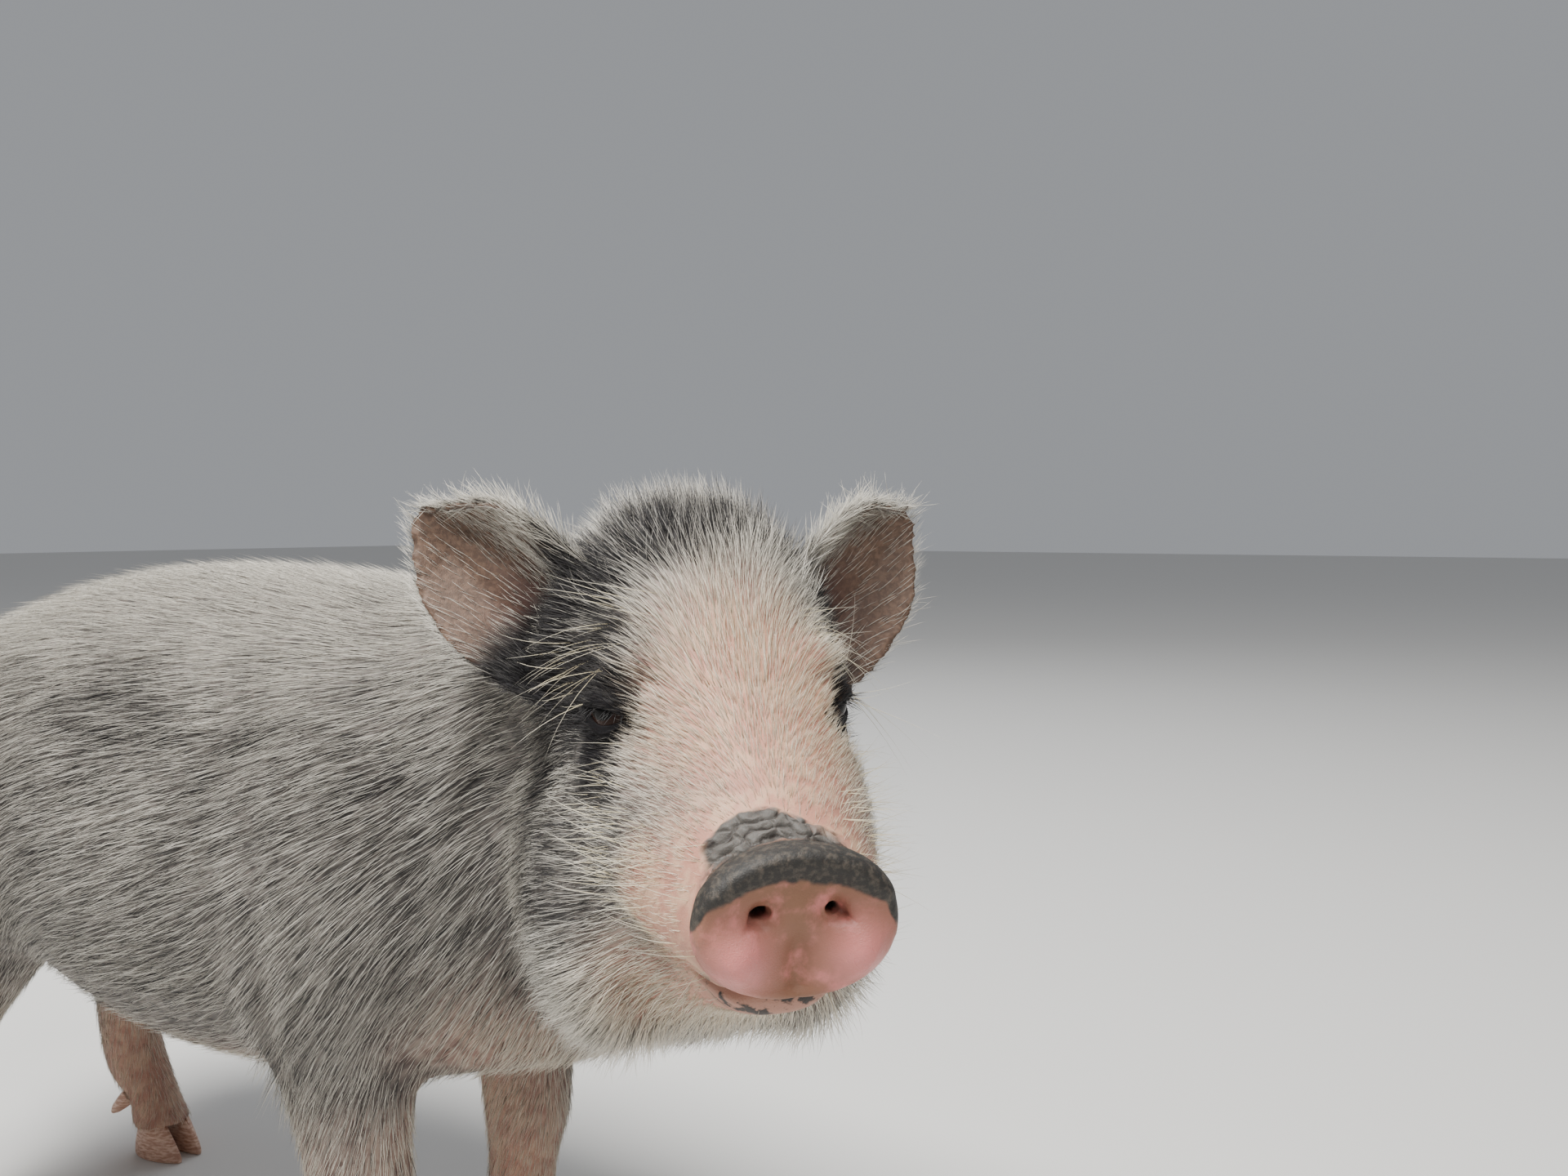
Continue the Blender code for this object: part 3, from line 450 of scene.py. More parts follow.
snoutShape = {
    "level": -0.0368,
    "face": 0.0800,  # the disc's front, forward of the eyes
    "halfWidth": 0.0252,
    "up": 0.0186,
    "down": 0.0182,
    "raise": 0.165,  # share by which the disc's lower half is drawn up from the lip
    "lobeAt": (0.0148, -0.0068),  # out and level of the two lower swellings
    "lobeSize": (0.0068, 0.0074),
    "lobe": 0.0044,
    "groove": 0.0024,
    "rim": 0.0006,
    "cap": 0.0013,  # the dark roll along the top
    "nostrilAt": (0.0084, 0.0034),
    "nostrilSize": (0.0014, 0.0011),
    "nostrilTurn": -24.0,
    "nostril": 0.0055,
    "slit": 0.0011,  # the groove that runs out from each nostril
    "folds": 0.0017,
    "foldLength": 0.0040,
    "foldFrom": 0.0735,  # forward, where the gathered folds begin, and how far back they reach
    "foldReach": 0.0128,
}


def nostrilField(x, z):
    # 1 at the edge of a nostril, less inside; the distance from its middle; and the slit that runs out from it
    turn = math.radians(snoutShape["nostrilTurn"])
    out, up = np.abs(x) - snoutShape["nostrilAt"][0], z - snoutShape["nostrilAt"][1]
    a = out * math.cos(turn) + up * math.sin(turn)
    b = up * math.cos(turn) - out * math.sin(turn)
    long, short = snoutShape["nostrilSize"]
    slit = ramp(a, -0.0006, 0.0016) * ramp(-a, -0.0074, -0.0030) * bump(b + 14 * a ** 2, 0.0, 0.0010)
    return np.hypot(a / long, b / short), np.hypot(a, b), slit


def foldField(head):
    # how strongly the hide gathers above the disc, and the waves of the folds
    x, forward, z = head[:, 0], -head[:, 1], head[:, 2] - snoutShape["level"]
    shake = wobble(head, 0.0062, 2.0)
    fine = wobble(head, 0.0026, 4.0)
    back = snoutShape["foldFrom"] - forward + 0.0014 * shake[:, 0]
    reach = snoutShape["foldReach"] * (0.66 + 0.34 * ramp(-x, -0.008, 0.006))
    zone = ramp(z, 0.002, 0.007) * ramp(back, -0.0004, 0.0004) * ramp(reach - back, 0.0, 0.0014)
    lean = ramp(x + 0.004 * shake[:, 1], -0.022, -0.018) * ramp(-x + 0.005 * shake[:, 2], -0.018, -0.008)
    phase = (back + 0.0030 * shake[:, 1] + 0.0011 * fine[:, 0] + 0.07 * x) / snoutShape["foldLength"]
    wave = np.abs(np.sin(math.pi * phase))
    cross = np.abs(np.sin(math.pi * (x + 0.0050 * shake[:, 2] + 0.7 * back + 0.0008 * fine[:, 1]) / 0.0066))
    lumps = np.minimum(wave, 0.30 + 0.85 * ramp(cross, 0.0, 0.55))
    return zone * lean, lumps * np.clip(0.85 + 0.9 * fine[:, 2], 0.4, 1.0), back


def shapeSnout(points, normals):
    head = seenFrom(headFrame, points)
    # the disc's lower half is drawn up and the lower lip comes forward under it
    forward, z = -head[:, 1], head[:, 2] - snoutShape["level"]
    near = ramp(forward, 0.0640, 0.0735)
    lift = np.where(z < 0, -snoutShape["raise"], 0.07) * z * near
    lipFront = 0.0024 * ramp(forward, 0.050, 0.060) * bump(z, -0.0262, 0.0042) * (1 - near)
    points = points + np.column_stack([np.zeros(len(z)), -lipFront, lift]) @ np.array(turnOfHead).T
    head = seenFrom(headFrame, points)
    x, forward, z = head[:, 0], -head[:, 1], head[:, 2] - snoutShape["level"]
    onFace = ramp(forward, snoutShape["face"] - 0.0060, snoutShape["face"] - 0.0025)
    u = x / snoutShape["halfWidth"]
    w = z / np.where(z > 0, snoutShape["up"], snoutShape["down"])
    out = np.hypot(u, w)
    inner = ramp(-out, -1.0, -0.78)
    (lobeX, lobeZ), (wide, high) = snoutShape["lobeAt"], snoutShape["lobeSize"]
    push = snoutShape["lobe"] * bump(np.abs(x), lobeX, wide) * bump(z, lobeZ, high) * inner
    push -= snoutShape["groove"] * bump(x, 0, 0.0034) * ramp(-z, -0.002, 0.006) * inner
    push += 0.0010 * bump(x, 0, 0.0044) * bump(z, 0.004, 0.006)
    push += snoutShape["rim"] * bump(out, 0.92, 0.07)
    push += snoutShape["cap"] * bump(out, 0.84, 0.14) * ramp(z, 0.004, 0.009)
    ring, away, slit = nostrilField(x, z)
    push -= 0.0007 * bump(away, 0, 0.0050) + snoutShape["slit"] * slit
    push += 0.0005 * bump(ring, 1.7, 0.35)
    moved = points + normals * (push * onFace)[:, None]
    backward = np.array(turnOfHead) @ np.array((0, 1, 0))
    pit = snoutShape["nostril"] * ramp(-ring, -1.10, -0.40) * onFace
    moved += pit[:, None] * backward
    strength, wave, back = foldField(head)
    rise = snoutShape["folds"] * strength * (wave ** 0.7 - 0.45)
    return moved + normals * rise[:, None]


# Grooves where the hide folds, in the body's frame: points along each, half width and depth
hideFolds = (
    (((-0.083, 0.006, 0.232), (-0.087, 0.003, 0.200), (-0.083, 0.004, 0.165), (-0.070, 0.010, 0.138)), 0.006, 0.0035),
    (((0.083, 0.006, 0.232), (0.087, 0.003, 0.200), (0.083, 0.004, 0.165), (0.070, 0.010, 0.138)), 0.006, 0.0030),
    (((-0.060, -0.085, 0.270), (-0.066, -0.080, 0.235), (-0.066, -0.078, 0.195)), 0.007, 0.0022),
    (((0.040, -0.140, 0.262), (0.054, -0.120, 0.235), (0.056, -0.105, 0.205)), 0.007, 0.0022),
)


def foldHide(points, normals):
    body = points - np.array(bodyOrigin)
    push = np.zeros(len(points))
    for line, halfWidth, depth in hideFolds:
        line = np.array(line)
        steps = np.linspace(0, 1, 13)
        path = np.vstack([a + (b - a) * steps[:, None] for a, b in zip(line, line[1:])])
        near = np.min(np.linalg.norm(body[:, None, :] - path[None, ::3, :], axis=2), axis=1)
        push -= depth * bump(near, 0, halfWidth)
        push += 0.35 * depth * bump(near, 2.0 * halfWidth, halfWidth)
    return points + normals * push[:, None]


def earSpan(head, side, chosen):
    # across the ear, -1 at the upper edge and 1 at the lower, and the way out along it in metres
    line, along, facing, across = earAxes(side)
    out = (head - line[0]) @ along
    raw = (head - line[0]) @ across
    bins = np.clip((out / 0.0035).astype(int) + 2, 0, 39)
    low, high = np.full(40, 1.0), np.full(40, -1.0)
    np.minimum.at(low, bins[chosen], raw[chosen])
    np.maximum.at(high, bins[chosen], raw[chosen])
    low, high = np.where(low > 0.9, 0, low), np.where(high < -0.9, 0, high)
    middle = (np.arange(40) - 1.5) * 0.0035
    low, high = np.interp(out, middle, low), np.interp(out, middle, high)
    return 2 * (raw - low) / np.maximum(high - low, 1e-3) - 1, out


earCup = {"depth": 0.0042, "curl": 0.0022, "ridge": 0.0008}


def cupEars(points, owners):
    head = seenFrom(headFrame, points)
    for side, tag in ((1, "left"), (-1, "right")):
        line, along, facing, across = earAxes(side)
        chosen = startsWith(owners, f"ear_{tag}")
        span, out = earSpan(head, side, chosen)
        reach = ramp(out, 0.012, 0.034) * chosen
        hollow = np.clip(1 - span ** 2, 0, 1) * reach * ramp(-out, -0.092, -0.070)
        push = -earCup["depth"] * hollow + earCup["curl"] * ramp(-span, 0.55, 1.0) * reach
        push += earCup["ridge"] * np.sin(3.0 * math.pi * span + 30 * out) * hollow
        points = points + push[:, None] * (np.array(turnOfHead) @ facing)
    return points


def buildSkin():
    made = fuseFlesh()
    data = made.data
    points = pointsOf(data)
    print("skin fused:", len(points), "points")
    owners = ownersOf(points)
    ears = startsWith(owners, "ear").astype(float)
    disc = startsWith(owners, "snout").astype(float)
    relax(data, skinSizes["rounds"], 1 - 0.60 * ears - 0.70 * disc)
    relax(data, skinSizes["lockRounds"], lockedZone(points) * (1 - ears))
    points = pointsOf(data)
    normals = normalsOf(data)
    depth = np.zeros(len(points))
    for word, amount in skinSizes["depth"].items():
        chosen = np.char.find(owners, "leg") >= 0 if word == "leg" else startsWith(owners, word)
        depth[chosen] = amount
    turned = normals @ np.array(turnOfHead)
    for side in (1, -1):
        line, along, facing, across = earAxes(side)
        edge = ramp(-np.abs(turned @ facing), -0.75, -0.35) * ramp(-(turned @ across), -0.2, 0.4)
        depth += skinSizes["earEdge"] * edge * ears * (turned[:, 0] * side > -0.6)
    body = points - np.array(bodyOrigin)
    depth *= ramp(body[:, 2], 0.010, 0.030) * 0.9 + 0.1
    setPoints(data, points - normals * depth[:, None])
    relax(data, 6, 1 - 0.7 * np.clip(ears + disc, 0, 1))
    setPoints(data, cupEars(pointsOf(data), owners))
    thinBody(made, detailZone(pointsOf(data), 0.002))
    points = pointsOf(made.data)
    owners = ownersOf(points)
    bodyOnly = (~startsWith(owners, "head", "ear", "snout")).astype(float)
    relax(made.data, skinSizes["bodyRounds"], bodyOnly * ramp(points[:, 2], 0.02, 0.12))
    for near in (0.003, 0.0):
        refine(made, detailZone(pointsOf(made.data), near))
    relax(made.data, 5, detailZone(pointsOf(made.data), 0.004).astype(float) * 0.8)
    data = made.data
    setPoints(data, shapeLids(pointsOf(data)))
    setPoints(data, cutMouth(pointsOf(data), normalsOf(data)))
    setPoints(data, shapeSnout(pointsOf(data), normalsOf(data)))
    setPoints(data, foldHide(pointsOf(data), normalsOf(data)))
    data.shade_smooth()
    print("skin shaped:", sum(len(p.vertices) - 2 for p in data.polygons), "triangles")
    return made


# Markings, and a painted shade in the fold behind the right foreleg: soft patches, in the head's or the body's frame,
# with radii and strength

darkPatches = (
    ("head", (-0.038, 0.004, 0.004), (0.022, 0.032, 0.022), 1.0),  # round the right eye
    ("head", (-0.043, 0.026, 0.002), (0.014, 0.024, 0.024), 1.0),
    ("head", (-0.038, -0.006, -0.016), (0.011, 0.018, 0.013), 0.9),
    ("head", (-0.046, 0.048, 0.022), (0.027, 0.020, 0.036), 1.0),  # foot of the right ear
    ("head", (-0.056, 0.047, 0.000), (0.010, 0.014, 0.012), 1.0),  # its low lobe
    ("head", (-0.050, 0.038, -0.008), (0.012, 0.015, 0.014), 1.0),
    ("head", (-0.016, 0.034, 0.047), (0.034, 0.025, 0.021), 0.72),  # poll
    ("head", (-0.034, 0.030, 0.034), (0.016, 0.020, 0.016), 0.90),
    ("head", (0.022, 0.046, 0.044), (0.024, 0.018, 0.018), 0.66),
    ("head", (0.039, 0.006, -0.004), (0.016, 0.024, 0.022), 1.0),  # round the left eye
    ("head", (0.043, 0.044, 0.018), (0.014, 0.018, 0.024), 0.8),
    ("head", (-0.036, -0.032, -0.034), (0.012, 0.022, 0.018), 0.42),  # cheeks
    ("head", (-0.044, 0.006, -0.048), (0.015, 0.036, 0.034), 0.50),
    ("head", (0.040, 0.004, -0.048), (0.015, 0.036, 0.032), 0.48),
    ("head", (-0.046, 0.034, -0.066), (0.018, 0.028, 0.042), 0.46),  # jowls
    ("head", (0.046, 0.034, -0.066), (0.018, 0.028, 0.042), 0.46),
    ("head", (-0.050, 0.050, -0.020), (0.022, 0.015, 0.036), 0.66),  # behind the jaw
    ("head", (0.050, 0.052, -0.020), (0.022, 0.016, 0.036), 0.60),
    ("body", (-0.071, -0.048, 0.218), (0.044, 0.040, 0.060), 0.62),  # shoulder
    ("body", (-0.078, 0.090, 0.262), (0.050, 0.066, 0.034), 0.66),  # flank
    # painted shade in the hide fold behind the right foreleg
    ("body", (-0.086, -0.002, 0.200), (0.024, 0.014, 0.060), 0.58),
    ("body", (-0.084, 0.140, 0.210), (0.044, 0.080, 0.046), 0.54),
    ("body", (0.078, 0.050, 0.250), (0.044, 0.074, 0.044), 0.64),
    ("body", (0.070, -0.050, 0.220), (0.044, 0.044, 0.054), 0.60),
    ("body", (0.060, 0.240, 0.240), (0.054, 0.044, 0.044), 0.58),
    ("body", (-0.060, 0.260, 0.230), (0.044, 0.054, 0.044), 0.58),
)
warmPatches = (
    ("head", (0.004, -0.030, 0.004), (0.034, 0.060, 0.046), 1.0),  # the blaze
    ("head", (0.000, -0.070, -0.030), (0.042, 0.034, 0.040), 1.0),
    ("head", (-0.026, -0.052, -0.046), (0.020, 0.024, 0.024), 0.9),
    ("head", (0.026, -0.052, -0.046), (0.020, 0.024, 0.024), 0.9),
    ("head", (0.000, -0.040, -0.074), (0.044, 0.056, 0.024), 0.8),  # lips, chin and jaw
    ("body", (0.000, -0.060, 0.160), (0.060, 0.060, 0.040), 0.7),  # chest
    ("body", (0.000, 0.080, 0.090), (0.085, 0.200, 0.050), 0.8),  # belly
    ("body", (0.000, -0.020, 0.030), (0.090, 0.050, 0.095), 0.9),  # legs
    ("body", (0.000, 0.250, 0.030), (0.090, 0.070, 0.095), 0.9),
)
markingNoise = {"warp": 0.010, "warpScale": 0.020, "mottle": 0.12, "mottleScale": 0.016, "streak": 0.20, "streakLong": 0.034,
                "streakWide": 0.0045, "streakSlope": 20.0}


def patchField(patches, head, body):
    total = np.zeros(len(head))
    for where, centre, radii, strength in patches:
        place = head if where == "head" else body
        off = np.linalg.norm((place - np.array(centre)) / np.array(radii), axis=1)
        soft = (-1.35, -0.45) if where == "head" else (-1.35, -0.15)
        total = np.maximum(total, strength * ramp(-off, *soft))
    return total


def streaks(points, slope):
    # long thin patches that run back and down with the hair
    turn = math.radians(slope)
    along = points[:, 1] * math.cos(turn) - points[:, 2] * math.sin(turn)
    across = points[:, 2] * math.cos(turn) + points[:, 1] * math.sin(turn)
    squeezed = np.column_stack([points[:, 0] / 0.015, along / markingNoise["streakLong"], across / markingNoise["streakWide"]])
    return wobble(squeezed, 1.0, 13.0)[:, 0]


def markings(points, owners):
    head = seenFrom(headFrame, points)
    body = points - np.array(bodyOrigin)
    warp = markingNoise["warp"] * wobble(points, markingNoise["warpScale"])
    dark = patchField(darkPatches, head + warp, body + warp)
    warm = patchField(warmPatches, head + 0.5 * warp, body + 0.8 * warp)
    mottle = wobble(points, markingNoise["mottleScale"], 7.0)[:, 0]
    onHead = startsWith(owners, "head", "snout", "ear")
    slope = markingNoise["streakSlope"]
    streak = np.where(onHead, streaks(head * 1.4, slope), streaks(body, slope))
    paleTop = ramp(body[:, 2], 0.255, 0.300) * ~onHead
    ground = np.where(onHead, 0.14, 0.50 - 0.34 * paleTop)
    sway = markingNoise["mottle"] * mottle * np.where(onHead, 0.4, 1.0) + markingNoise["streak"] * streak * np.where(onHead, 0.6, 1.0)
    dark = np.where(dark > 0.75, dark, np.maximum(dark, ground) + sway)
    # dark lids and skin round each eye: partly their own dark colour, partly painted shade of the deep eye hollow under
    # the brow
    eyes = np.zeros(len(points))
    for side in (1, -1):
        local = seenFrom(eyeFrame(side), points)
        near = ramp(-np.linalg.norm(local, axis=1), -0.0185, -0.0140)
        eyes = np.maximum(eyes, near)
    spared = patchField(darkPatches, head, body) < 0.7
    dark = np.clip(np.maximum(dark * (1 - 0.85 * warm * spared), eyes), 0, 1)
    # the disc, its black roll, and the gathered folds above it, with painted shade in the folds' troughs and in the
    # nostrils
    x, forward, z = head[:, 0], -head[:, 1], head[:, 2] - snoutShape["level"]
    disc = ramp(forward, 0.0715, 0.0740)
    u = (x + 0.001) / snoutShape["halfWidth"]
    edge = 0.0110 - 0.0080 * u ** 2 - 0.004 * ramp(np.abs(u), 0.84, 0.97) + 0.10 * warp[:, 2]
    edge += 0.0008 * wobble(points, 0.0034, 9.0)[:, 0] + 0.0004 * wobble(points, 0.0013, 10.0)[:, 0]
    onRim = ramp(-forward, -0.0790, -0.0765)
    cap = ramp(z - edge * (1 - 0.8 * onRim), -0.0006, 0.0008) * disc
    folds, wave, back = foldField(head)
    # painted shade: the troughs between the folds are painted dark
    crease = folds * ramp(-wave, -0.40, -0.05)
    ring, away, slit = nostrilField(x, z)
    # painted shade: the inside of each nostril and the slit running out from it are painted dark
    pit = np.clip(ramp(-ring, -1.10, -0.70) + 0.14 * slit, 0, 1) * ramp(forward, 0.066, 0.074)
    (lobeX, lobeZ), (wide, high) = snoutShape["lobeAt"], snoutShape["lobeSize"]
    lobe = bump(np.abs(x), lobeX, 1.25 * wide) * bump(z, lobeZ, 1.25 * high) * disc
    lip = ramp(forward, 0.050, 0.060) * ramp(-forward, -0.0745, -0.0725) * ramp(-z, 0.016, 0.020)
    return {"dark": dark, "warm": warm, "disc": disc, "cap": cap, "folds": folds, "crease": crease, "pit": pit, "lobe": lobe, "lip": lip}


# Ears, in the head's frame: the middle line from root to tip on the left side
earShape = {
    "line": ((0.022, 0.040, 0.002), (0.041, 0.050, 0.015), (0.057, 0.060, 0.028), (0.072, 0.070, 0.041), (0.085, 0.078, 0.051)),
    "facing": (0.34, -0.90, 0.10),
}


def earAxes(side):
    flip = np.array((side, 1, 1))
    line = np.array(earShape["line"]) * flip
    along = line[-1] - line[0]
    along /= np.linalg.norm(along)
    facing = np.array(earShape["facing"]) * flip
    facing = facing - along * facing.dot(along)
    facing /= np.linalg.norm(facing)
    return line, along, facing, np.cross(along, facing) * side


def earMasks(points, normals, owners):
    # the hollow face of each ear, how deep in it a point lies (the skin there is darkened as painted shade in the
    # hollow), and its edges where the fringe grows
    head = seenFrom(headFrame, points)
    turned = normals @ np.array(turnOfHead)
    front, deep, edge, upper = (np.zeros(len(points)) for _ in range(4))
    for side, tag in ((1, "left"), (-1, "right")):
        line, along, facing, across = earAxes(side)
        chosen = startsWith(owners, f"ear_{tag}")
        span, out = earSpan(head, side, chosen)
        toFace = turned @ facing
        outward = turned @ along
        front = np.where(chosen, ramp(toFace, 0.0, 0.45), front)
        deep = np.where(chosen, ramp(-out, -0.066, -0.034) * bump(span, -0.05, 0.60), deep)
        rim = np.clip(ramp(-span, 0.80, 0.97) + ramp(outward, 0.45, 0.80) + 0.35 * ramp(span, 0.90, 0.99), 0, 1)
        edge = np.where(chosen, rim * ramp(out, 0.014, 0.024), edge)
        upper = np.where(chosen, ramp(-span, 0.05, 0.62) * ramp(-out, -0.120, -0.100), upper)
    return {"inner": front, "deep": deep, "edge": edge, "upper": upper}


# The lie of the coat: place, way, in the head's or the body's frame, on the left side, mirrored for the right

lieGuides = (
    ("head", (0.010, -0.064, -0.014), (0.40, 0.90, 0.30), 0.012),
    ("head", (0.000, -0.040, 0.003), (0.00, 1.00, 0.35), 0.012),
    ("head", (0.018, -0.036, -0.002), (0.65, 0.85, 0.15), 0.012),
    ("head", (0.000, -0.006, 0.026), (0.00, 1.00, 0.80), 0.014),
    ("head", (0.022, -0.002, 0.022), (0.75, 0.75, 0.55), 0.012),
    ("head", (0.000, 0.025, 0.045), (0.00, 1.00, 0.80), 0.014),
    ("head", (0.024, 0.022, 0.036), (0.85, 0.60, 0.50), 0.013),
    ("head", (0.000, 0.055, 0.055), (0.00, 1.00, 0.30), 0.016),
    ("head", (0.036, 0.018, 0.016), (0.85, 0.60, 0.10), 0.013),
    ("head", (0.032, -0.008, 0.012), (0.85, 0.55, 0.25), 0.010),
    ("head", (0.036, -0.002, -0.016), (0.30, 1.00, -0.20), 0.012),
    ("head", (0.036, -0.036, -0.025), (0.35, 1.00, -0.05), 0.016),
    ("head", (0.026, -0.062, -0.040), (0.55, 0.90, -0.15), 0.012),
    ("head", (0.042, 0.015, -0.040), (0.10, 1.00, -0.35), 0.020),
    ("head", (0.020, -0.060, -0.058), (0.45, 0.75, -0.50), 0.010),
    ("head", (0.000, -0.052, -0.066), (0.00, 0.70, -0.70), 0.012),
    ("head", (0.040, -0.008, -0.075), (0.15, 0.95, -0.45), 0.018),
    ("head", (0.015, 0.000, -0.098), (0.05, 1.00, -0.20), 0.018),
    ("head", (0.046, 0.055, -0.080), (0.05, 0.90, -0.65), 0.022),
    ("body", (0.020, -0.060, 0.300), (0.00, 1.00, -0.05), 0.030),
    ("body", (0.060, -0.060, 0.260), (0.00, 0.90, -0.45), 0.028),
    ("body", (0.060, -0.060, 0.200), (0.00, 0.75, -0.75), 0.028),
    ("body", (0.020, -0.100, 0.180), (0.00, 0.40, -1.00), 0.025),
    ("body", (0.020, 0.060, 0.316), (0.10, 1.00, -0.05), 0.035),
    ("body", (0.070, 0.060, 0.280), (0.10, 1.00, -0.22), 0.030),
    ("body", (0.088, 0.060, 0.220), (0.00, 1.00, -0.35), 0.035),
    ("body", (0.070, 0.070, 0.150), (0.00, 1.00, -0.25), 0.030),
    ("body", (0.020, 0.080, 0.112), (0.00, 1.00, 0.00), 0.035),
    ("body", (0.078, -0.015, 0.240), (0.00, 0.95, -0.45), 0.030),
    ("body", (0.078, -0.010, 0.180), (0.00, 0.65, -0.80), 0.028),
    ("body", (0.060, -0.010, 0.120), (0.00, 0.30, -1.00), 0.030),
    ("body", (0.046, -0.005, 0.050), (0.00, 0.25, -1.00), 0.035),
    ("body", (0.060, 0.240, 0.285), (0.10, 1.00, -0.40), 0.035),
    ("body", (0.088, 0.240, 0.220), (0.00, 0.85, -0.65), 0.035),
    ("body", (0.080, 0.200, 0.160), (0.00, 0.70, -0.75), 0.030),
    ("body", (0.040, 0.318, 0.210), (0.00, 0.25, -1.00), 0.025),
    ("body", (0.052, 0.260, 0.120), (0.00, 0.15, -1.00), 0.030),
    ("body", (0.050, 0.260, 0.050), (0.00, 0.15, -1.00), 0.035),
    ("body", (0.006, 0.344, 0.190), (0.00, 0.00, -1.00), 0.012),
)
lieNoise = {"body": 0.15, "bodyScale": 0.009, "head": 0.12, "headScale": 0.006}


def lieOfCoat(points, normals, owners):
    total = np.zeros((len(points), 3)) + np.array((0, 1e-9, 0))
    turn = np.array(turnOfHead)
    for where, place, way, reach in lieGuides:
        for side in (1, -1):
            flip = np.array((side, 1, 1))
            place2, way2 = np.array(place) * flip, np.array(way) * flip
            if where == "head":
                spot, aim = placedBy(headFrame, place2[None])[0], turn @ way2
            else:
                spot, aim = place2 + np.array(bodyOrigin), way2
            off = np.linalg.norm(points - spot, axis=1)
            total += np.outer(1 / (1 + (off / reach) ** 4), aim / np.linalg.norm(aim))
    total /= np.linalg.norm(total, axis=1)[:, None]
    head = seenFrom(headFrame, points)
    for side, tag in ((1, "left"), (-1, "right")):
        line, along, facing, across = earAxes(side)
        onEar = startsWith(owners, f"ear_{tag}")
        out = ((head - line[0]) @ across) / 0.025
        way = along + 0.55 * np.clip(out, -1.2, 1.2)[:, None] * across
        total = np.where(onEar[:, None], way @ turn.T, total)
    onHead = startsWith(owners, "head", "ear")[:, None]
    total += np.where(onHead, lieNoise["head"], lieNoise["body"]) * np.where(
        onHead, wobble(points, lieNoise["headScale"], 3.0), wobble(points, lieNoise["bodyScale"], 3.0))
    total -= normals * np.sum(total * normals, axis=1)[:, None]
    return total / np.maximum(np.linalg.norm(total, axis=1), 1e-6)[:, None]


# Materials

def addNode(tree, kind, values=None, **settings):
    node = tree.nodes.new(kind)
    for name, value in settings.items():
        setattr(node, name, value)
    for name, value in (values or {}).items():
        socketNamed(node.inputs, name).default_value = value
    return node


def socketNamed(sockets, name):
    if isinstance(name, int):
        return sockets[name]
    return next(s for s in sockets if s.name == name and s.enabled)


def link(tree, source, target):
    # each end is (node, socket name or number)
    tree.links.new(socketNamed(source[0].outputs, source[1]), socketNamed(target[0].inputs, target[1]))


def mathNode(tree, operation, a, b=0.0, clamp=False):
    node = tree.nodes.new("ShaderNodeMath")
    node.operation = operation
    node.use_clamp = clamp
    for k, value in enumerate((a, b)):
        if isinstance(value, tuple):
            link(tree, value, (node, k))
        else:
            node.inputs[k].default_value = value
    return (node, 0)


def mixColour(tree, share, a, b, blend="MIX"):
    node = tree.nodes.new("ShaderNodeMix")
    node.data_type = "RGBA"
    node.blend_type = blend
    for name, value in (("Factor", share), ("A", a), ("B", b)):
        if isinstance(value, tuple) and not isinstance(value[0], (int, float)):
            link(tree, value, (node, name))
        elif name == "Factor":
            socketNamed(node.inputs, name).default_value = value
        else:
            socketNamed(node.inputs, name).default_value = (*value, 1)
    return (node, "Result")


def valueOf(tree, name):
    node = tree.nodes.new("ShaderNodeAttribute")
    node.attribute_name = name
    return (node, "Fac")


def stretch(tree, source, low, high):
    node = tree.nodes.new("ShaderNodeMapRange")
    node.interpolation_type = "SMOOTHSTEP"
    link(tree, source, (node, "Value"))
    node.inputs["From Min"].default_value = low
    node.inputs["From Max"].default_value = high
    return (node, "Result")


def mottleGroup():
    # speckles and pores at two scales, in metres
    tree = bpy.data.node_groups.new("mottle", "ShaderNodeTree")
    face = tree.interface
    face.new_socket("Coarse", in_out="INPUT", socket_type="NodeSocketFloat").default_value = 140.0
    face.new_socket("Fine", in_out="INPUT", socket_type="NodeSocketFloat").default_value = 900.0
    face.new_socket("Patches", in_out="OUTPUT", socket_type="NodeSocketFloat")
    face.new_socket("Pores", in_out="OUTPUT", socket_type="NodeSocketFloat")
    face.new_socket("Cracks", in_out="OUTPUT", socket_type="NodeSocketFloat")
    start = tree.nodes.new("NodeGroupInput")
    end = tree.nodes.new("NodeGroupOutput")
    place = tree.nodes.new("ShaderNodeTexCoord")
    patches = addNode(tree, "ShaderNodeTexNoise", {"Detail": 4.0, "Roughness": 0.6})
    pores = addNode(tree, "ShaderNodeTexNoise", {"Detail": 3.0, "Roughness": 0.6})
    cracks = addNode(tree, "ShaderNodeTexVoronoi", feature="DISTANCE_TO_EDGE")
    for node, scale in ((patches, "Coarse"), (pores, "Fine"), (cracks, "Fine")):
        link(tree, (place, "Object"), (node, "Vector"))
        link(tree, (start, scale), (node, "Scale"))
    link(tree, (patches, "Fac"), (end, "Patches"))
    link(tree, (pores, "Fac"), (end, "Pores"))
    link(tree, (cracks, "Distance"), (end, "Cracks"))
    return tree


def placeGroup(tree, group, **values):
    node = tree.nodes.new("ShaderNodeGroup")
    node.node_tree = group
    for name, value in values.items():
        node.inputs[name].default_value = value
    return node


def freshMaterial(name):
    material = bpy.data.materials.new(name)
    material.use_nodes = True
    tree = material.node_tree
    return material, tree, tree.nodes["Principled BSDF"]


def bumpNode(tree, shader, height, strength, distance, below=None):
    node = tree.nodes.new("ShaderNodeBump")
    node.inputs["Strength"].default_value = strength
    node.inputs["Distance"].default_value = distance
    link(tree, height, (node, "Height"))
    if below:
        link(tree, below, (node, "Normal"))
    link(tree, (node, "Normal"), (shader, "Normal"))
    return (node, "Normal")


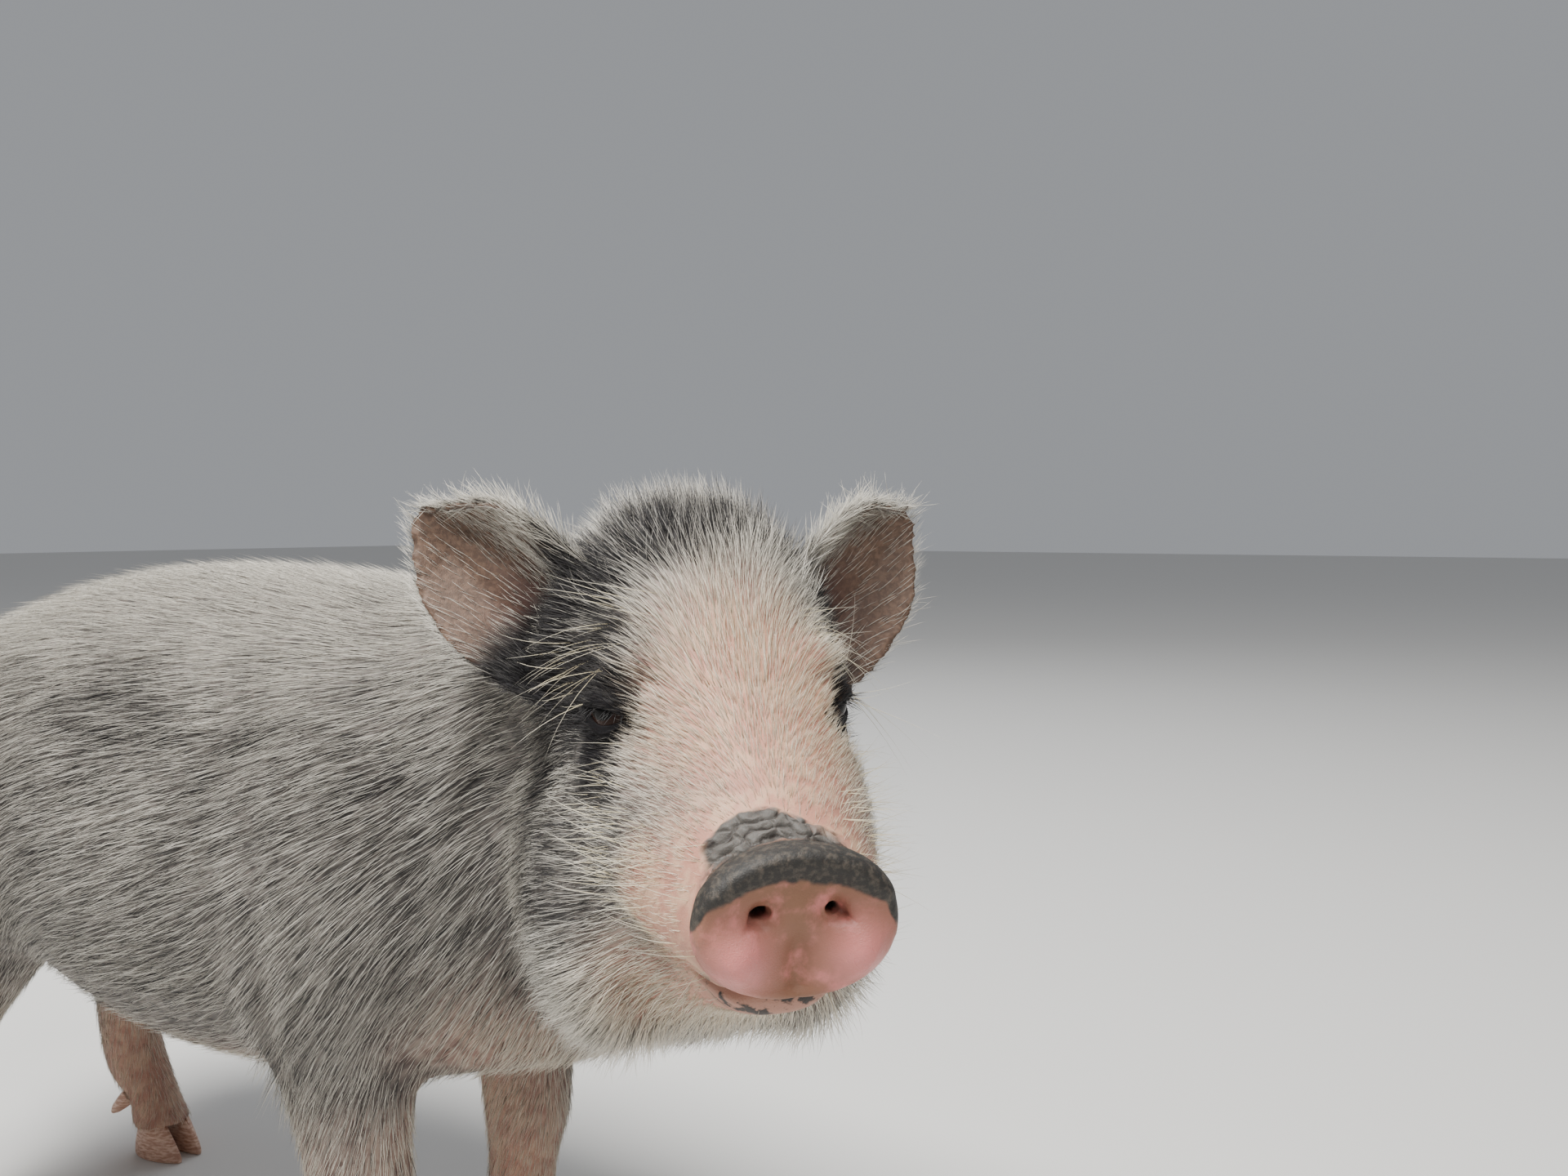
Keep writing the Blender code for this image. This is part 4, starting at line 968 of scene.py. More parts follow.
skinTints = {
    "grey": (0.085, 0.077, 0.071),
    "greyPale": (0.225, 0.198, 0.178),
    "charcoal": (0.008, 0.007, 0.008),
    "pink": (0.470, 0.220, 0.155),
    "peach": (0.560, 0.335, 0.220),
    "earInside": (0.160, 0.098, 0.067),
    "earSpeck": (0.098, 0.059, 0.041),
    # painted shade deep in the ear's hollow
    "earHollowShade": (0.048, 0.016, 0.012),
    "discPink": (0.570, 0.195, 0.180),
    "discTan": (0.205, 0.098, 0.055),
    # painted shade inside the nostrils
    "pit": (0.030, 0.008, 0.007),
    "cap": (0.017, 0.015, 0.013),
    "capPale": (0.070, 0.057, 0.044),
    "folds": (0.090, 0.081, 0.072),
    # painted shade in the troughs between the folds
    "crease": (0.020, 0.014, 0.011),
    "lip": (0.340, 0.175, 0.125),
    "speck": (0.026, 0.018, 0.015),
}


def skinMaterial():
    material, tree, shader = freshMaterial("pigSkin")
    spots = placeGroup(tree, groups["mottle"], Coarse=150.0, Fine=1400.0)
    speckle = placeGroup(tree, groups["mottle"], Coarse=560.0, Fine=2600.0)
    patches, pores, cracks = (spots, "Patches"), (spots, "Pores"), (spots, "Cracks")
    grey = mixColour(tree, stretch(tree, patches, 0.35, 0.65), skinTints["grey"], skinTints["greyPale"])
    flesh = mixColour(tree, stretch(tree, patches, 0.40, 0.62), skinTints["pink"], skinTints["peach"])
    colour = mixColour(tree, valueOf(tree, "warm"), grey, flesh)
    ear = mixColour(tree, stretch(tree, (speckle, "Patches"), 0.40, 0.62), skinTints["earSpeck"], skinTints["earInside"])
    # painted shade: the ear skin darkens to a deep red-brown towards the bottom of the hollow
    ear = mixColour(tree, valueOf(tree, "deep"), ear, skinTints["earHollowShade"])
    colour = mixColour(tree, valueOf(tree, "inner"), colour, ear)
    colour = mixColour(tree, stretch(tree, valueOf(tree, "dark"), 0.20, 0.90), colour, skinTints["charcoal"])
    lip = mixColour(tree, stretch(tree, patches, 0.52, 0.60), skinTints["lip"], skinTints["speck"])
    colour = mixColour(tree, valueOf(tree, "lip"), colour, lip)
    disc = mixColour(tree, stretch(tree, patches, 0.48, 0.80), skinTints["discTan"], skinTints["discPink"])
    disc = mixColour(tree, valueOf(tree, "lobe"), disc, skinTints["discPink"])
    colour = mixColour(tree, valueOf(tree, "disc"), colour, disc)
    # painted shade darkens the troughs between the folds
    folds = mixColour(tree, valueOf(tree, "crease"), skinTints["folds"], skinTints["crease"])
    colour = mixColour(tree, valueOf(tree, "folds"), colour, folds)
    blotch = mathNode(tree, "MULTIPLY", stretch(tree, (speckle, "Patches"), 0.42, 0.70), 0.90)
    cap = mixColour(tree, blotch, skinTints["cap"], skinTints["capPale"])
    colour = mixColour(tree, valueOf(tree, "cap"), colour, cap)
    # painted shade inside the nostrils and along their slits
    colour = mixColour(tree, valueOf(tree, "pit"), colour, skinTints["pit"])
    link(tree, colour, (shader, "Base Color"))
    wet = mathNode(tree, "MULTIPLY", valueOf(tree, "lobe"), 0.36)
    link(tree, mathNode(tree, "SUBTRACT", 0.60, wet), (shader, "Roughness"))
    gloss = mathNode(tree, "SUBTRACT", 0.42, mathNode(tree, "MULTIPLY", valueOf(tree, "dark"), 0.30), clamp=True)
    link(tree, gloss, (shader, "Specular IOR Level"))
    shader.inputs["Subsurface Weight"].default_value = 0.10
    shader.inputs["Subsurface Radius"].default_value = (0.004, 0.0014, 0.0009)
    coarse = bumpNode(tree, shader, patches, 0.25, 0.0007)
    fine = bumpNode(tree, shader, pores, 0.30, 0.0002, coarse)
    bumpNode(tree, shader, stretch(tree, cracks, 0.0, 0.25), 0.22, 0.0002, fine)
    return material


coatTints = {
    "pale": (0.720, 0.680, 0.600),
    "silver": (0.355, 0.335, 0.300),
    "cream": (0.590, 0.440, 0.280),
    "charcoal": (0.007, 0.0065, 0.008),
    "slate": (0.045, 0.042, 0.043),
    "rootShadeTan": (0.300, 0.180, 0.105),
    "straw": (0.800, 0.680, 0.420),
    "white": (0.820, 0.765, 0.640),
}


def coatMaterial():
    # every hair is pale or dark by its lot and by how dark the skin at its root is
    material, tree, shader = freshMaterial("pigHair")
    lot, reach, dark, warm = (valueOf(tree, name) for name in ("lot", "reach", "dark", "warm"))
    second = mathNode(tree, "FRACT", mathNode(tree, "MULTIPLY", lot, 17.0))
    greyer = mathNode(tree, "SUBTRACT", mathNode(tree, "ADD", mathNode(tree, "MULTIPLY", dark, 2.2), second), 0.62, clamp=True)
    pale = mixColour(tree, greyer, coatTints["pale"], coatTints["silver"])
    cream = mixColour(tree, second, coatTints["cream"], coatTints["white"])
    light = mixColour(tree, warm, pale, cream)
    deep = mixColour(tree, second, coatTints["charcoal"], coatTints["slate"])
    chance = mathNode(tree, "SUBTRACT", mathNode(tree, "MULTIPLY", dark, 1.06), mathNode(tree, "MULTIPLY", lot, 0.96))
    share = mathNode(tree, "MULTIPLY", chance, 6.0, clamp=True)
    tip = mathNode(tree, "SUBTRACT", 1.0, mathNode(tree, "MULTIPLY", stretch(tree, reach, 0.55, 1.0), 0.35))
    colour = mixColour(tree, mathNode(tree, "MULTIPLY", share, tip), light, deep)
    # hairs darken towards the root, slate over grey skin and tan over pale skin: painted shade deep in the coat
    shade = mathNode(tree, "ADD", 0.22, mathNode(tree, "MULTIPLY", dark, 1.0), clamp=True)
    root = mathNode(tree, "MULTIPLY", mathNode(tree, "SUBTRACT", 1.0, stretch(tree, reach, 0.0, 0.50)), shade)
    foot = mixColour(tree, warm, coatTints["slate"], coatTints["rootShadeTan"])
    colour = mixColour(tree, mathNode(tree, "MULTIPLY", root, 0.75), colour, foot)
    link(tree, colour, (shader, "Base Color"))
    shader.inputs["Roughness"].default_value = 0.50
    shader.inputs["Specular IOR Level"].default_value = 0.20
    grain = addNode(tree, "ShaderNodeTexNoise", {"Scale": 2600.0})
    place = tree.nodes.new("ShaderNodeTexCoord")
    link(tree, (place, "Object"), (grain, "Vector"))
    bumpNode(tree, shader, (grain, "Fac"), 0.2, 0.0001)
    return material


def bristleMaterial(name, tint, tipTint):
    material, tree, shader = freshMaterial(name)
    colour = mixColour(tree, stretch(tree, valueOf(tree, "reach"), 0.0, 0.8), tint, tipTint)
    shade = mathNode(tree, "ADD", 0.72, mathNode(tree, "MULTIPLY", valueOf(tree, "lot"), 0.28))
    black = mixColour(tree, shade, (0.05, 0.05, 0.05), colour)
    link(tree, black, (shader, "Base Color"))
    shader.inputs["Roughness"].default_value = 0.38
    return material


eyeTints = {"iris": (0.010, 0.004, 0.003), "irisPale": (0.032, 0.013, 0.008), "pupil": (0.002, 0.002, 0.002),
            "white": (0.045, 0.018, 0.014)}


def eyeMaterial():
    material, tree, shader = freshMaterial("wetEye")
    place = tree.nodes.new("ShaderNodeTexCoord")
    streaky = addNode(tree, "ShaderNodeTexNoise", {"Scale": 900.0, "Detail": 3.0})
    link(tree, (place, "Object"), (streaky, "Vector"))
    iris = mixColour(tree, (streaky, "Fac"), eyeTints["iris"], eyeTints["irisPale"])
    colour = mixColour(tree, stretch(tree, valueOf(tree, "pupil"), 0.45, 0.55), iris, eyeTints["pupil"])
    colour = mixColour(tree, stretch(tree, valueOf(tree, "offAxis"), 0.74, 0.84), colour, eyeTints["white"])
    link(tree, colour, (shader, "Base Color"))
    shader.inputs["Roughness"].default_value = 0.07
    shader.inputs["Specular IOR Level"].default_value = 0.08  # the pale floor would show in it as a grey film
    bumpNode(tree, shader, (streaky, "Fac"), 0.05, 0.0001)
    return material


hornTints = {"deep": (0.420, 0.220, 0.150), "pale": (0.740, 0.520, 0.400)}


def hornMaterial():
    material, tree, shader = freshMaterial("clawHorn")
    place = tree.nodes.new("ShaderNodeTexCoord")
    squash = addNode(tree, "ShaderNodeMapping", {"Scale": (260.0, 260.0, 1100.0)})
    rings = addNode(tree, "ShaderNodeTexNoise", {"Scale": 1.0, "Detail": 3.0})
    link(tree, (place, "Object"), (squash, "Vector"))
    link(tree, (squash, "Vector"), (rings, "Vector"))
    spots = placeGroup(tree, groups["mottle"], Coarse=180.0, Fine=1500.0)
    colour = mixColour(tree, stretch(tree, (rings, "Fac"), 0.35, 0.65), hornTints["deep"], hornTints["pale"])
    colour = mixColour(tree, mathNode(tree, "MULTIPLY", (spots, "Patches"), 0.5), colour, hornTints["deep"])
    link(tree, colour, (shader, "Base Color"))
    shader.inputs["Roughness"].default_value = 0.48
    first = bumpNode(tree, shader, (rings, "Fac"), 0.4, 0.0004)
    bumpNode(tree, shader, (spots, "Pores"), 0.3, 0.0002, first)
    return material


# Hair: one tree of nodes that sets bent, tapered bristles on a host mesh

def bristleTree():
    tree = bpy.data.node_groups.new("bristles", "GeometryNodeTree")
    face = tree.interface
    face.new_socket("Geometry", in_out="INPUT", socket_type="NodeSocketGeometry")
    for name in ("Density", "Length", "Spread", "Width", "Lift", "Ruffle", "Droop", "Sway"):
        face.new_socket(name, in_out="INPUT", socket_type="NodeSocketFloat")
    face.new_socket("Segments", in_out="INPUT", socket_type="NodeSocketInt")
    face.new_socket("Seed", in_out="INPUT", socket_type="NodeSocketInt")
    face.new_socket("Hair", in_out="INPUT", socket_type="NodeSocketMaterial")
    face.new_socket("Geometry", in_out="OUTPUT", socket_type="NodeSocketGeometry")
    start = tree.nodes.new("NodeGroupInput")
    end = tree.nodes.new("NodeGroupOutput")

    def named(name, kind="FLOAT"):
        node = addNode(tree, "GeometryNodeInputNamedAttribute", {"Name": name}, data_type=kind)
        return (node, "Attribute")

    def calculate(operation, a, b=0.0):
        return mathNode(tree, operation, a, b)

    def randomValue(low, high, seedShift, kind="FLOAT"):
        node = addNode(tree, "FunctionNodeRandomValue", data_type=kind)
        for name, value in (("Min", low), ("Max", high)):
            if isinstance(value, tuple):
                link(tree, value, (node, name))
            else:
                socketNamed(node.inputs, name).default_value = value
        link(tree, calculate("ADD", (start, "Seed"), seedShift), (node, "Seed"))
        return (node, "Value")

    def keep(geometry, name, value, kind="FLOAT"):
        node = addNode(tree, "GeometryNodeStoreNamedAttribute", {"Name": name}, data_type=kind, domain="POINT")
        link(tree, geometry, (node, "Geometry"))
        link(tree, value, (node, "Value"))
        return (node, "Geometry")

    scatter = addNode(tree, "GeometryNodeDistributePointsOnFaces", distribute_method="RANDOM")
    link(tree, (start, "Geometry"), (scatter, "Mesh"))
    link(tree, calculate("MULTIPLY", named("grow"), (start, "Density")), (scatter, "Density"))
    link(tree, (start, "Seed"), (scatter, "Seed"))
    place = tree.nodes.new("GeometryNodeInputPosition")
    points = keep((scatter, "Points"), "root", (place, "Position"), "FLOAT_VECTOR")
    points = keep(points, "lot", randomValue(0.0, 1.0, 11))

    # three bristles that bend a little differently
    shapes = tree.nodes.new("GeometryNodeJoinGeometry")
    for sway, droop in ((-1.0, 0.7), (0.15, 1.0), (1.0, 1.35)):
        cone = addNode(tree, "GeometryNodeMeshCone", {
            "Vertices": 3, "Fill Segments": 1, "Radius Top": 0.0, "Radius Bottom": 1.0, "Depth": 1.0,
        }, fill_type="NGON")
        link(tree, (start, "Segments"), (cone, "Side Segments"))
        split = tree.nodes.new("ShaderNodeSeparateXYZ")
        link(tree, (tree.nodes.new("GeometryNodeInputPosition"), "Position"), (split, 0))
        along = (split, "Z")
        square = calculate("MULTIPLY", along, along)
        wide = calculate("DIVIDE", (start, "Width"), (start, "Length"))
        plump = calculate("MULTIPLY", wide, calculate("ADD", 0.5, calculate("MULTIPLY", along, 0.30)))
        sideways = calculate("MULTIPLY", calculate("MULTIPLY", square, (start, "Sway")), sway)
        fall = calculate("MULTIPLY", calculate("MULTIPLY", square, (start, "Droop")), -droop)
        spot = tree.nodes.new("ShaderNodeCombineXYZ")
        link(tree, calculate("ADD", calculate("MULTIPLY", (split, "X"), plump), sideways), (spot, "X"))
        link(tree, calculate("SUBTRACT", along, 0.05), (spot, "Y"))
        link(tree, calculate("ADD", calculate("MULTIPLY", (split, "Y"), plump), fall), (spot, "Z"))
        bend = tree.nodes.new("GeometryNodeSetPosition")
        marked = keep((cone, "Mesh"), "reach", along)
        marked = keep(marked, "across", (split, "X"))
        link(tree, marked, (bend, "Geometry"))
        link(tree, (spot, "Vector"), (bend, "Position"))
        single = tree.nodes.new("GeometryNodeGeometryToInstance")
        link(tree, (bend, "Geometry"), (single, "Geometry"))
        link(tree, (single, "Instances"), (shapes, "Geometry"))

    stand = addNode(tree, "FunctionNodeAxesToRotation", primary_axis="Z", secondary_axis="Y")
    link(tree, (scatter, "Normal"), (stand, "Primary Axis"))
    link(tree, named("lie", "FLOAT_VECTOR"), (stand, "Secondary Axis"))
    angles = tree.nodes.new("ShaderNodeCombineXYZ")
    lift = calculate("ADD", calculate("MULTIPLY", (start, "Lift"), named("lift")), randomValue(-0.10, 0.14, 23))
    back = calculate("MULTIPLY", (start, "Ruffle"), -1.0)
    link(tree, lift, (angles, "X"))
    link(tree, randomValue(back, (start, "Ruffle"), 37), (angles, "Z"))
    tilt = tree.nodes.new("FunctionNodeEulerToRotation")
    link(tree, (angles, "Vector"), (tilt, 0))
    turned = addNode(tree, "FunctionNodeRotateRotation", rotation_space="LOCAL")
    link(tree, (stand, "Rotation"), (turned, "Rotation"))
    link(tree, (tilt, "Rotation"), (turned, "Rotate By"))
    least = calculate("SUBTRACT", 1.0, (start, "Spread"))
    most = calculate("ADD", 1.0, calculate("MULTIPLY", (start, "Spread"), 0.6))
    share = calculate("MULTIPLY", named("size"), randomValue(least, most, 51))
    size = tree.nodes.new("ShaderNodeCombineXYZ")
    girth = calculate("MULTIPLY", (start, "Length"), calculate("POWER", share, 0.45))  # short hair is hardly thinner
    for axis, value in (("X", girth), ("Y", calculate("MULTIPLY", (start, "Length"), share)), ("Z", girth)):
        link(tree, value, (size, axis))

    plant = addNode(tree, "GeometryNodeInstanceOnPoints", {"Pick Instance": True})
    link(tree, points, (plant, "Points"))
    link(tree, (shapes, "Geometry"), (plant, "Instance"))
    link(tree, randomValue(0, 2, 67, "INT"), (plant, "Instance Index"))
    link(tree, (turned, "Rotation"), (plant, "Rotation"))
    link(tree, (size, "Vector"), (plant, "Scale"))
    real = tree.nodes.new("GeometryNodeRealizeInstances")
    link(tree, (plant, "Instances"), (real, "Geometry"))
    paint = tree.nodes.new("GeometryNodeSetMaterial")
    link(tree, (real, "Geometry"), (paint, "Geometry"))
    link(tree, (start, "Hair"), (paint, "Material"))
    link(tree, (paint, "Geometry"), (end, "Geometry"))
    return tree


def barrelMap(roots):
    body = roots - np.array(bodyOrigin)
    turn = np.arctan2(body[:, 0], body[:, 2] - 0.215) / (2 * math.pi) + 0.5
    return np.column_stack([0.02 + 0.96 * turn, np.interp(body[:, 1], (-0.17, 0.36), (0.02, 0.98))])


def ballMap(roots):
    head = seenFrom(headFrame, roots) - np.array((0, 0.02, -0.03))
    turn = np.arctan2(head[:, 0], -head[:, 1]) / (2 * math.pi) + 0.5
    rise = np.arctan2(head[:, 2], np.hypot(head[:, 0], head[:, 1])) / math.pi + 0.5
    return np.column_stack([0.02 + 0.96 * turn, 0.02 + 0.96 * rise])


def legMap(roots):
    # four columns, one for each leg
    body = roots - np.array(bodyOrigin)
    column = 2 * (body[:, 1] > 0.12) + (body[:, 0] > 0)
    middleX = np.where(body[:, 0] > 0, 0.049, -0.049)
    middleY = np.where(body[:, 1] > 0.12, 0.262, -0.004)
    turn = np.arctan2(body[:, 0] - middleX, body[:, 1] - middleY) / (2 * math.pi) + 0.5
    return np.column_stack([(column + 0.03 + 0.94 * turn) / 4, np.interp(body[:, 2], (0.0, 0.20), (0.02, 0.98))])


def earMap(roots):
    # two leaves side by side; front and back share them, told apart by height in the map
    head = seenFrom(headFrame, roots)
    uv = np.zeros((len(roots), 2))
    for side in (1, -1):
        line, along, facing, across = earAxes(side)
        chosen = head[:, 0] * side > 0
        off = head[chosen] - line[0]
        front = (off @ facing > 0.004) * 0.5
        uv[chosen, 0] = np.interp(off @ along, (-0.01, 0.10), (0.02, 0.48)) + (0.5 if side > 0 else 0.0)
        uv[chosen, 1] = np.interp(off @ across, (-0.04, 0.04), (0.02, 0.48)) + front
    return uv


patchSize = 0.003  # of each hair in its map


def mapHairs(data, unwrap):
    corner = np.empty(len(data.loops), np.int32)
    data.loops.foreach_get("vertex_index", corner)
    roots = readValues(data, "root", 3).astype(float)
    uv = unwrap(roots)
    uv[:, 0] += patchSize * 0.5 * readValues(data, "across")
    uv[:, 1] += patchSize * (readValues(data, "reach") - 0.5)
    layer = data.uv_layers.new(name="OFBake")
    layer.data.foreach_set("uv", np.clip(uv, 0, 1).astype(np.float32)[corner].ravel())


def growHair(host, name, grow, settings, material, unwrap):
    storeValues(host.data, "grow", np.clip(grow, 0, None))
    tree = groups["bristles"]
    modifier = host.modifiers.new("hair", "NODES")
    modifier.node_group = tree
    for item in tree.interface.items_tree:
        if item.in_out == "INPUT" and item.name in settings:
            modifier[item.identifier] = settings[item.name]
        if item.in_out == "INPUT" and item.name == "Hair":
            modifier[item.identifier] = material
    data = evaluated(host)
    host.modifiers.clear()
    data.name = name
    mapHairs(data, unwrap)
    for spare in ("root", "across", "grow", "lie", "lift", "size"):
        if spare in data.attributes:
            data.attributes.remove(data.attributes[spare])
    made = newObject(name, data)
    data.shade_smooth()
    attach(made, "root")
    print(f"{name}: {sum(len(p.vertices) - 2 for p in data.polygons)} triangles")
    return made


# Eyes and claws

def buildEye(side):
    tag = "left" if side > 0 else "right"
    mesh = bmesh.new()
    bmesh.ops.create_uvsphere(mesh, u_segments=64, v_segments=48, radius=carriage["eyeRadius"])
    turn = Matrix.Rotation(math.radians(90), 4, "X")  # the poles lie on the axis
    bmesh.ops.transform(mesh, matrix=turn, verts=mesh.verts)
    offAxis, pupil = [], []
    for vert in mesh.verts:
        ahead = -vert.co.y / carriage["eyeRadius"]
        off = math.acos(max(-1, min(1, ahead)))
        offAxis.append(off)
        pupil.append(1.0 - math.hypot(vert.co.x / 0.0042, vert.co.z / 0.0030) if ahead > 0 else 0.0)
        vert.co *= 1 + 0.055 * max(0.0, 1 - (off / 0.62) ** 2)  # the cornea
    bmesh.ops.transform(mesh, matrix=eyeFrame(side), verts=mesh.verts)
    data = bpy.data.meshes.new(f"eyeball_{tag}")
    mesh.to_mesh(data)
    mesh.free()
    storeValues(data, "offAxis", offAxis)
    storeValues(data, "pupil", np.array(pupil) + 0.5)
    data.shade_smooth()
    data.materials.append(materials["eye"])
    made = newObject(f"eyeball_{tag}", data)
    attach(made, "root")
    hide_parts(f"eye_{tag}")


def buildClaw(node):
    # the frame's claw, merged, with softer edges
    mesh = bmesh.new()
    mesh.from_mesh(frame["nodes"][node].data)
    bmesh.ops.remove_doubles(mesh, verts=mesh.verts, dist=1e-6)
    bmesh.ops.dissolve_limit(mesh, angle_limit=math.radians(2), verts=mesh.verts, edges=mesh.edges)
    data = bpy.data.meshes.new(node + "_horn")
    mesh.to_mesh(data)
    mesh.free()
    made = newObject(node + "_horn", data)
    bevel = made.modifiers.new("edge", "BEVEL")
    bevel.width = 0.0006
    bevel.segments = 2
    bevel.limit_method = "ANGLE"
    bevel.angle_limit = math.radians(50)
    smooth = made.modifiers.new("smooth", "SUBSURF")
    smooth.levels = smooth.render_levels = 2
    made.data = evaluated(made)
    made.modifiers.clear()
    made.data.shade_smooth()
    made.data.materials.clear()
    made.data.materials.append(materials["horn"])
    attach(made, "root")
    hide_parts(node)


# Coat pieces: density per square metre, metres, radians

coats = {
    "coatBack": {"Density": 3.2e5, "Length": 0.024, "Width": 0.00026, "Lift": 0.19, "Droop": 0.07, "Seed": 21},
    "coatFlankLeft": {"Density": 3.2e5, "Length": 0.021, "Width": 0.00025, "Lift": 0.14, "Droop": 0.05, "Seed": 22},
    "coatFlankRight": {"Density": 3.7e5, "Length": 0.021, "Width": 0.00024, "Lift": 0.14, "Droop": 0.05, "Seed": 23},
    "coatBelly": {"Density": 1.5e5, "Length": 0.014, "Width": 0.00026, "Lift": 0.20, "Droop": 0.08, "Seed": 24},
    "coatNeckLeft": {"Density": 3.2e5, "Length": 0.018, "Width": 0.00026, "Lift": 0.18, "Droop": 0.07, "Seed": 25},
    "coatNeckRight": {"Density": 4.0e5, "Length": 0.018, "Width": 0.00025, "Lift": 0.17, "Droop": 0.06, "Seed": 26},
    "coatBrow": {"Density": 6.2e5, "Length": 0.0135, "Width": 0.00022, "Lift": 0.25, "Droop": 0.10, "Ruffle": 0.10, "Seed": 27},
    "coatCheekLeft": {"Density": 4.6e5, "Length": 0.0125, "Width": 0.00022, "Lift": 0.22, "Droop": 0.10, "Seed": 28},
    "coatCheekRight": {"Density": 5.6e5, "Length": 0.0125, "Width": 0.00021, "Lift": 0.22, "Droop": 0.10, "Seed": 29},
    "coatForelegs": {"Density": 3.2e5, "Length": 0.0115, "Width": 0.00025, "Lift": 0.18, "Droop": 0.08, "Seed": 30},
    "coatHindlegs": {"Density": 2.8e5, "Length": 0.0115, "Width": 0.00025, "Lift": 0.18, "Droop": 0.08, "Seed": 31},
    "coatEars": {"Density": 8.5e5, "Length": 0.0085, "Width": 0.00020, "Lift": 0.24, "Droop": 0.10, "Seed": 32},
    "coatTail": {"Density": 4.0e5, "Length": 0.0120, "Width": 0.00028, "Lift": 0.26, "Droop": 0.10, "Seed": 33},
}
coatCommon = {"Spread": 0.36, "Ruffle": 0.13, "Sway": 0.08, "Segments": 2}

# Long single hairs: where they root and which way they go, in the head's frame on the left side, mirrored for the right
longSpots = {
    "browHairs": (
        ((0.035, 0.008, 0.019), (0.010, 0.016, 0.011), (1.00, 0.20, 0.14)),
        ((0.027, 0.006, 0.027), (0.010, 0.014, 0.007), (1.00, 0.25, 0.40)),
        ((0.041, 0.020, 0.007), (0.009, 0.018, 0.012), (1.00, 0.20, -0.06)),
    ),
    "whiskers": (
        ((0.026, -0.056, -0.036), (0.012, 0.016, 0.026), (1.00, 0.10, 0.00)),
        ((0.018, -0.060, -0.062), (0.014, 0.012, 0.008), (0.60, -0.10, -0.80)),
        ((0.034, -0.020, -0.030), (0.008, 0.022, 0.022), (1.00, 0.50, 0.00)),
    ),
    "chinHairs": (
        ((0.000, -0.032, -0.086), (0.022, 0.016, 0.012), (0.00, 0.65, -0.80)),
        ((0.030, -0.020, -0.085), (0.024, 0.036, 0.020), (0.10, 0.80, -0.60)),
        ((0.045, 0.030, -0.090), (0.020, 0.036, 0.030), (0.10, 0.80, -0.60)),
    ),
    "pollBristles": (
        ((0.000, 0.032, 0.050), (0.030, 0.022, 0.016), (0.10, 0.35, 1.00)),
        ((0.030, 0.034, 0.036), (0.014, 0.018, 0.016), (0.70, 0.30, 0.80)),
        ((0.000, 0.075, 0.052), (0.026, 0.040, 0.020), (0.10, 0.70, 0.60)),
    ),
}
longHairs = {
    "browHairs": {"Density": 4.4e4, "Length": 0.034, "Width": 0.00021, "Lift": 0.36, "Droop": 0.22, "Sway": 0.24, "Ruffle": 0.12,
                  "Spread": 0.45, "Segments": 6, "Seed": 41},
    "whiskers": {"Density": 6.0e4, "Length": 0.0165, "Width": 0.00021, "Lift": 0.85, "Droop": 0.12, "Sway": 0.14, "Ruffle": 0.45,
                 "Spread": 0.45, "Segments": 4, "Seed": 42},
    "chinHairs": {"Density": 9.0e4, "Length": 0.0190, "Width": 0.00022, "Lift": 0.50, "Droop": 0.16, "Sway": 0.14, "Ruffle": 0.30,
                  "Spread": 0.45, "Segments": 4, "Seed": 43},
    "pollBristles": {"Density": 1.5e5, "Length": 0.0165, "Width": 0.00027, "Lift": 0.62, "Droop": 0.05, "Sway": 0.12, "Ruffle": 0.35,
                     "Spread": 0.40, "Segments": 3, "Seed": 44},
    "lashes": {"Density": 9.0e5, "Length": 0.0062, "Width": 0.00022, "Lift": 0.95, "Droop": -0.10, "Sway": 0.10, "Ruffle": 0.35,
               "Spread": 0.35, "Segments": 4, "Seed": 45},
    "earFringe": {"Density": 6.0e5, "Length": 0.0120, "Width": 0.00022, "Lift": 0.55, "Droop": 0.10, "Sway": 0.12, "Ruffle": 0.35,
                  "Spread": 0.45, "Segments": 3, "Seed": 46},
}


def spotField(spots, head, normals):
    # how thickly long hairs stand at each point, and which way they go
    grow = np.zeros(len(head))
    way = np.zeros((len(head), 3))
    for centre, radii, aim in spots:
        for side in (1, -1):
            flip = np.array((side, 1, 1))
            off = np.linalg.norm((head - np.array(centre) * flip) / np.array(radii), axis=1)
            near = ramp(-off, -1.3, -0.5)
            grow = np.maximum(grow, near)
            way += np.outer(near + 1e-4, np.array(aim) * flip)
    way = way @ np.array(turnOfHead).T
    way -= normals * np.sum(way * normals, axis=1)[:, None]
    return grow, way / np.maximum(np.linalg.norm(way, axis=1), 1e-6)[:, None]


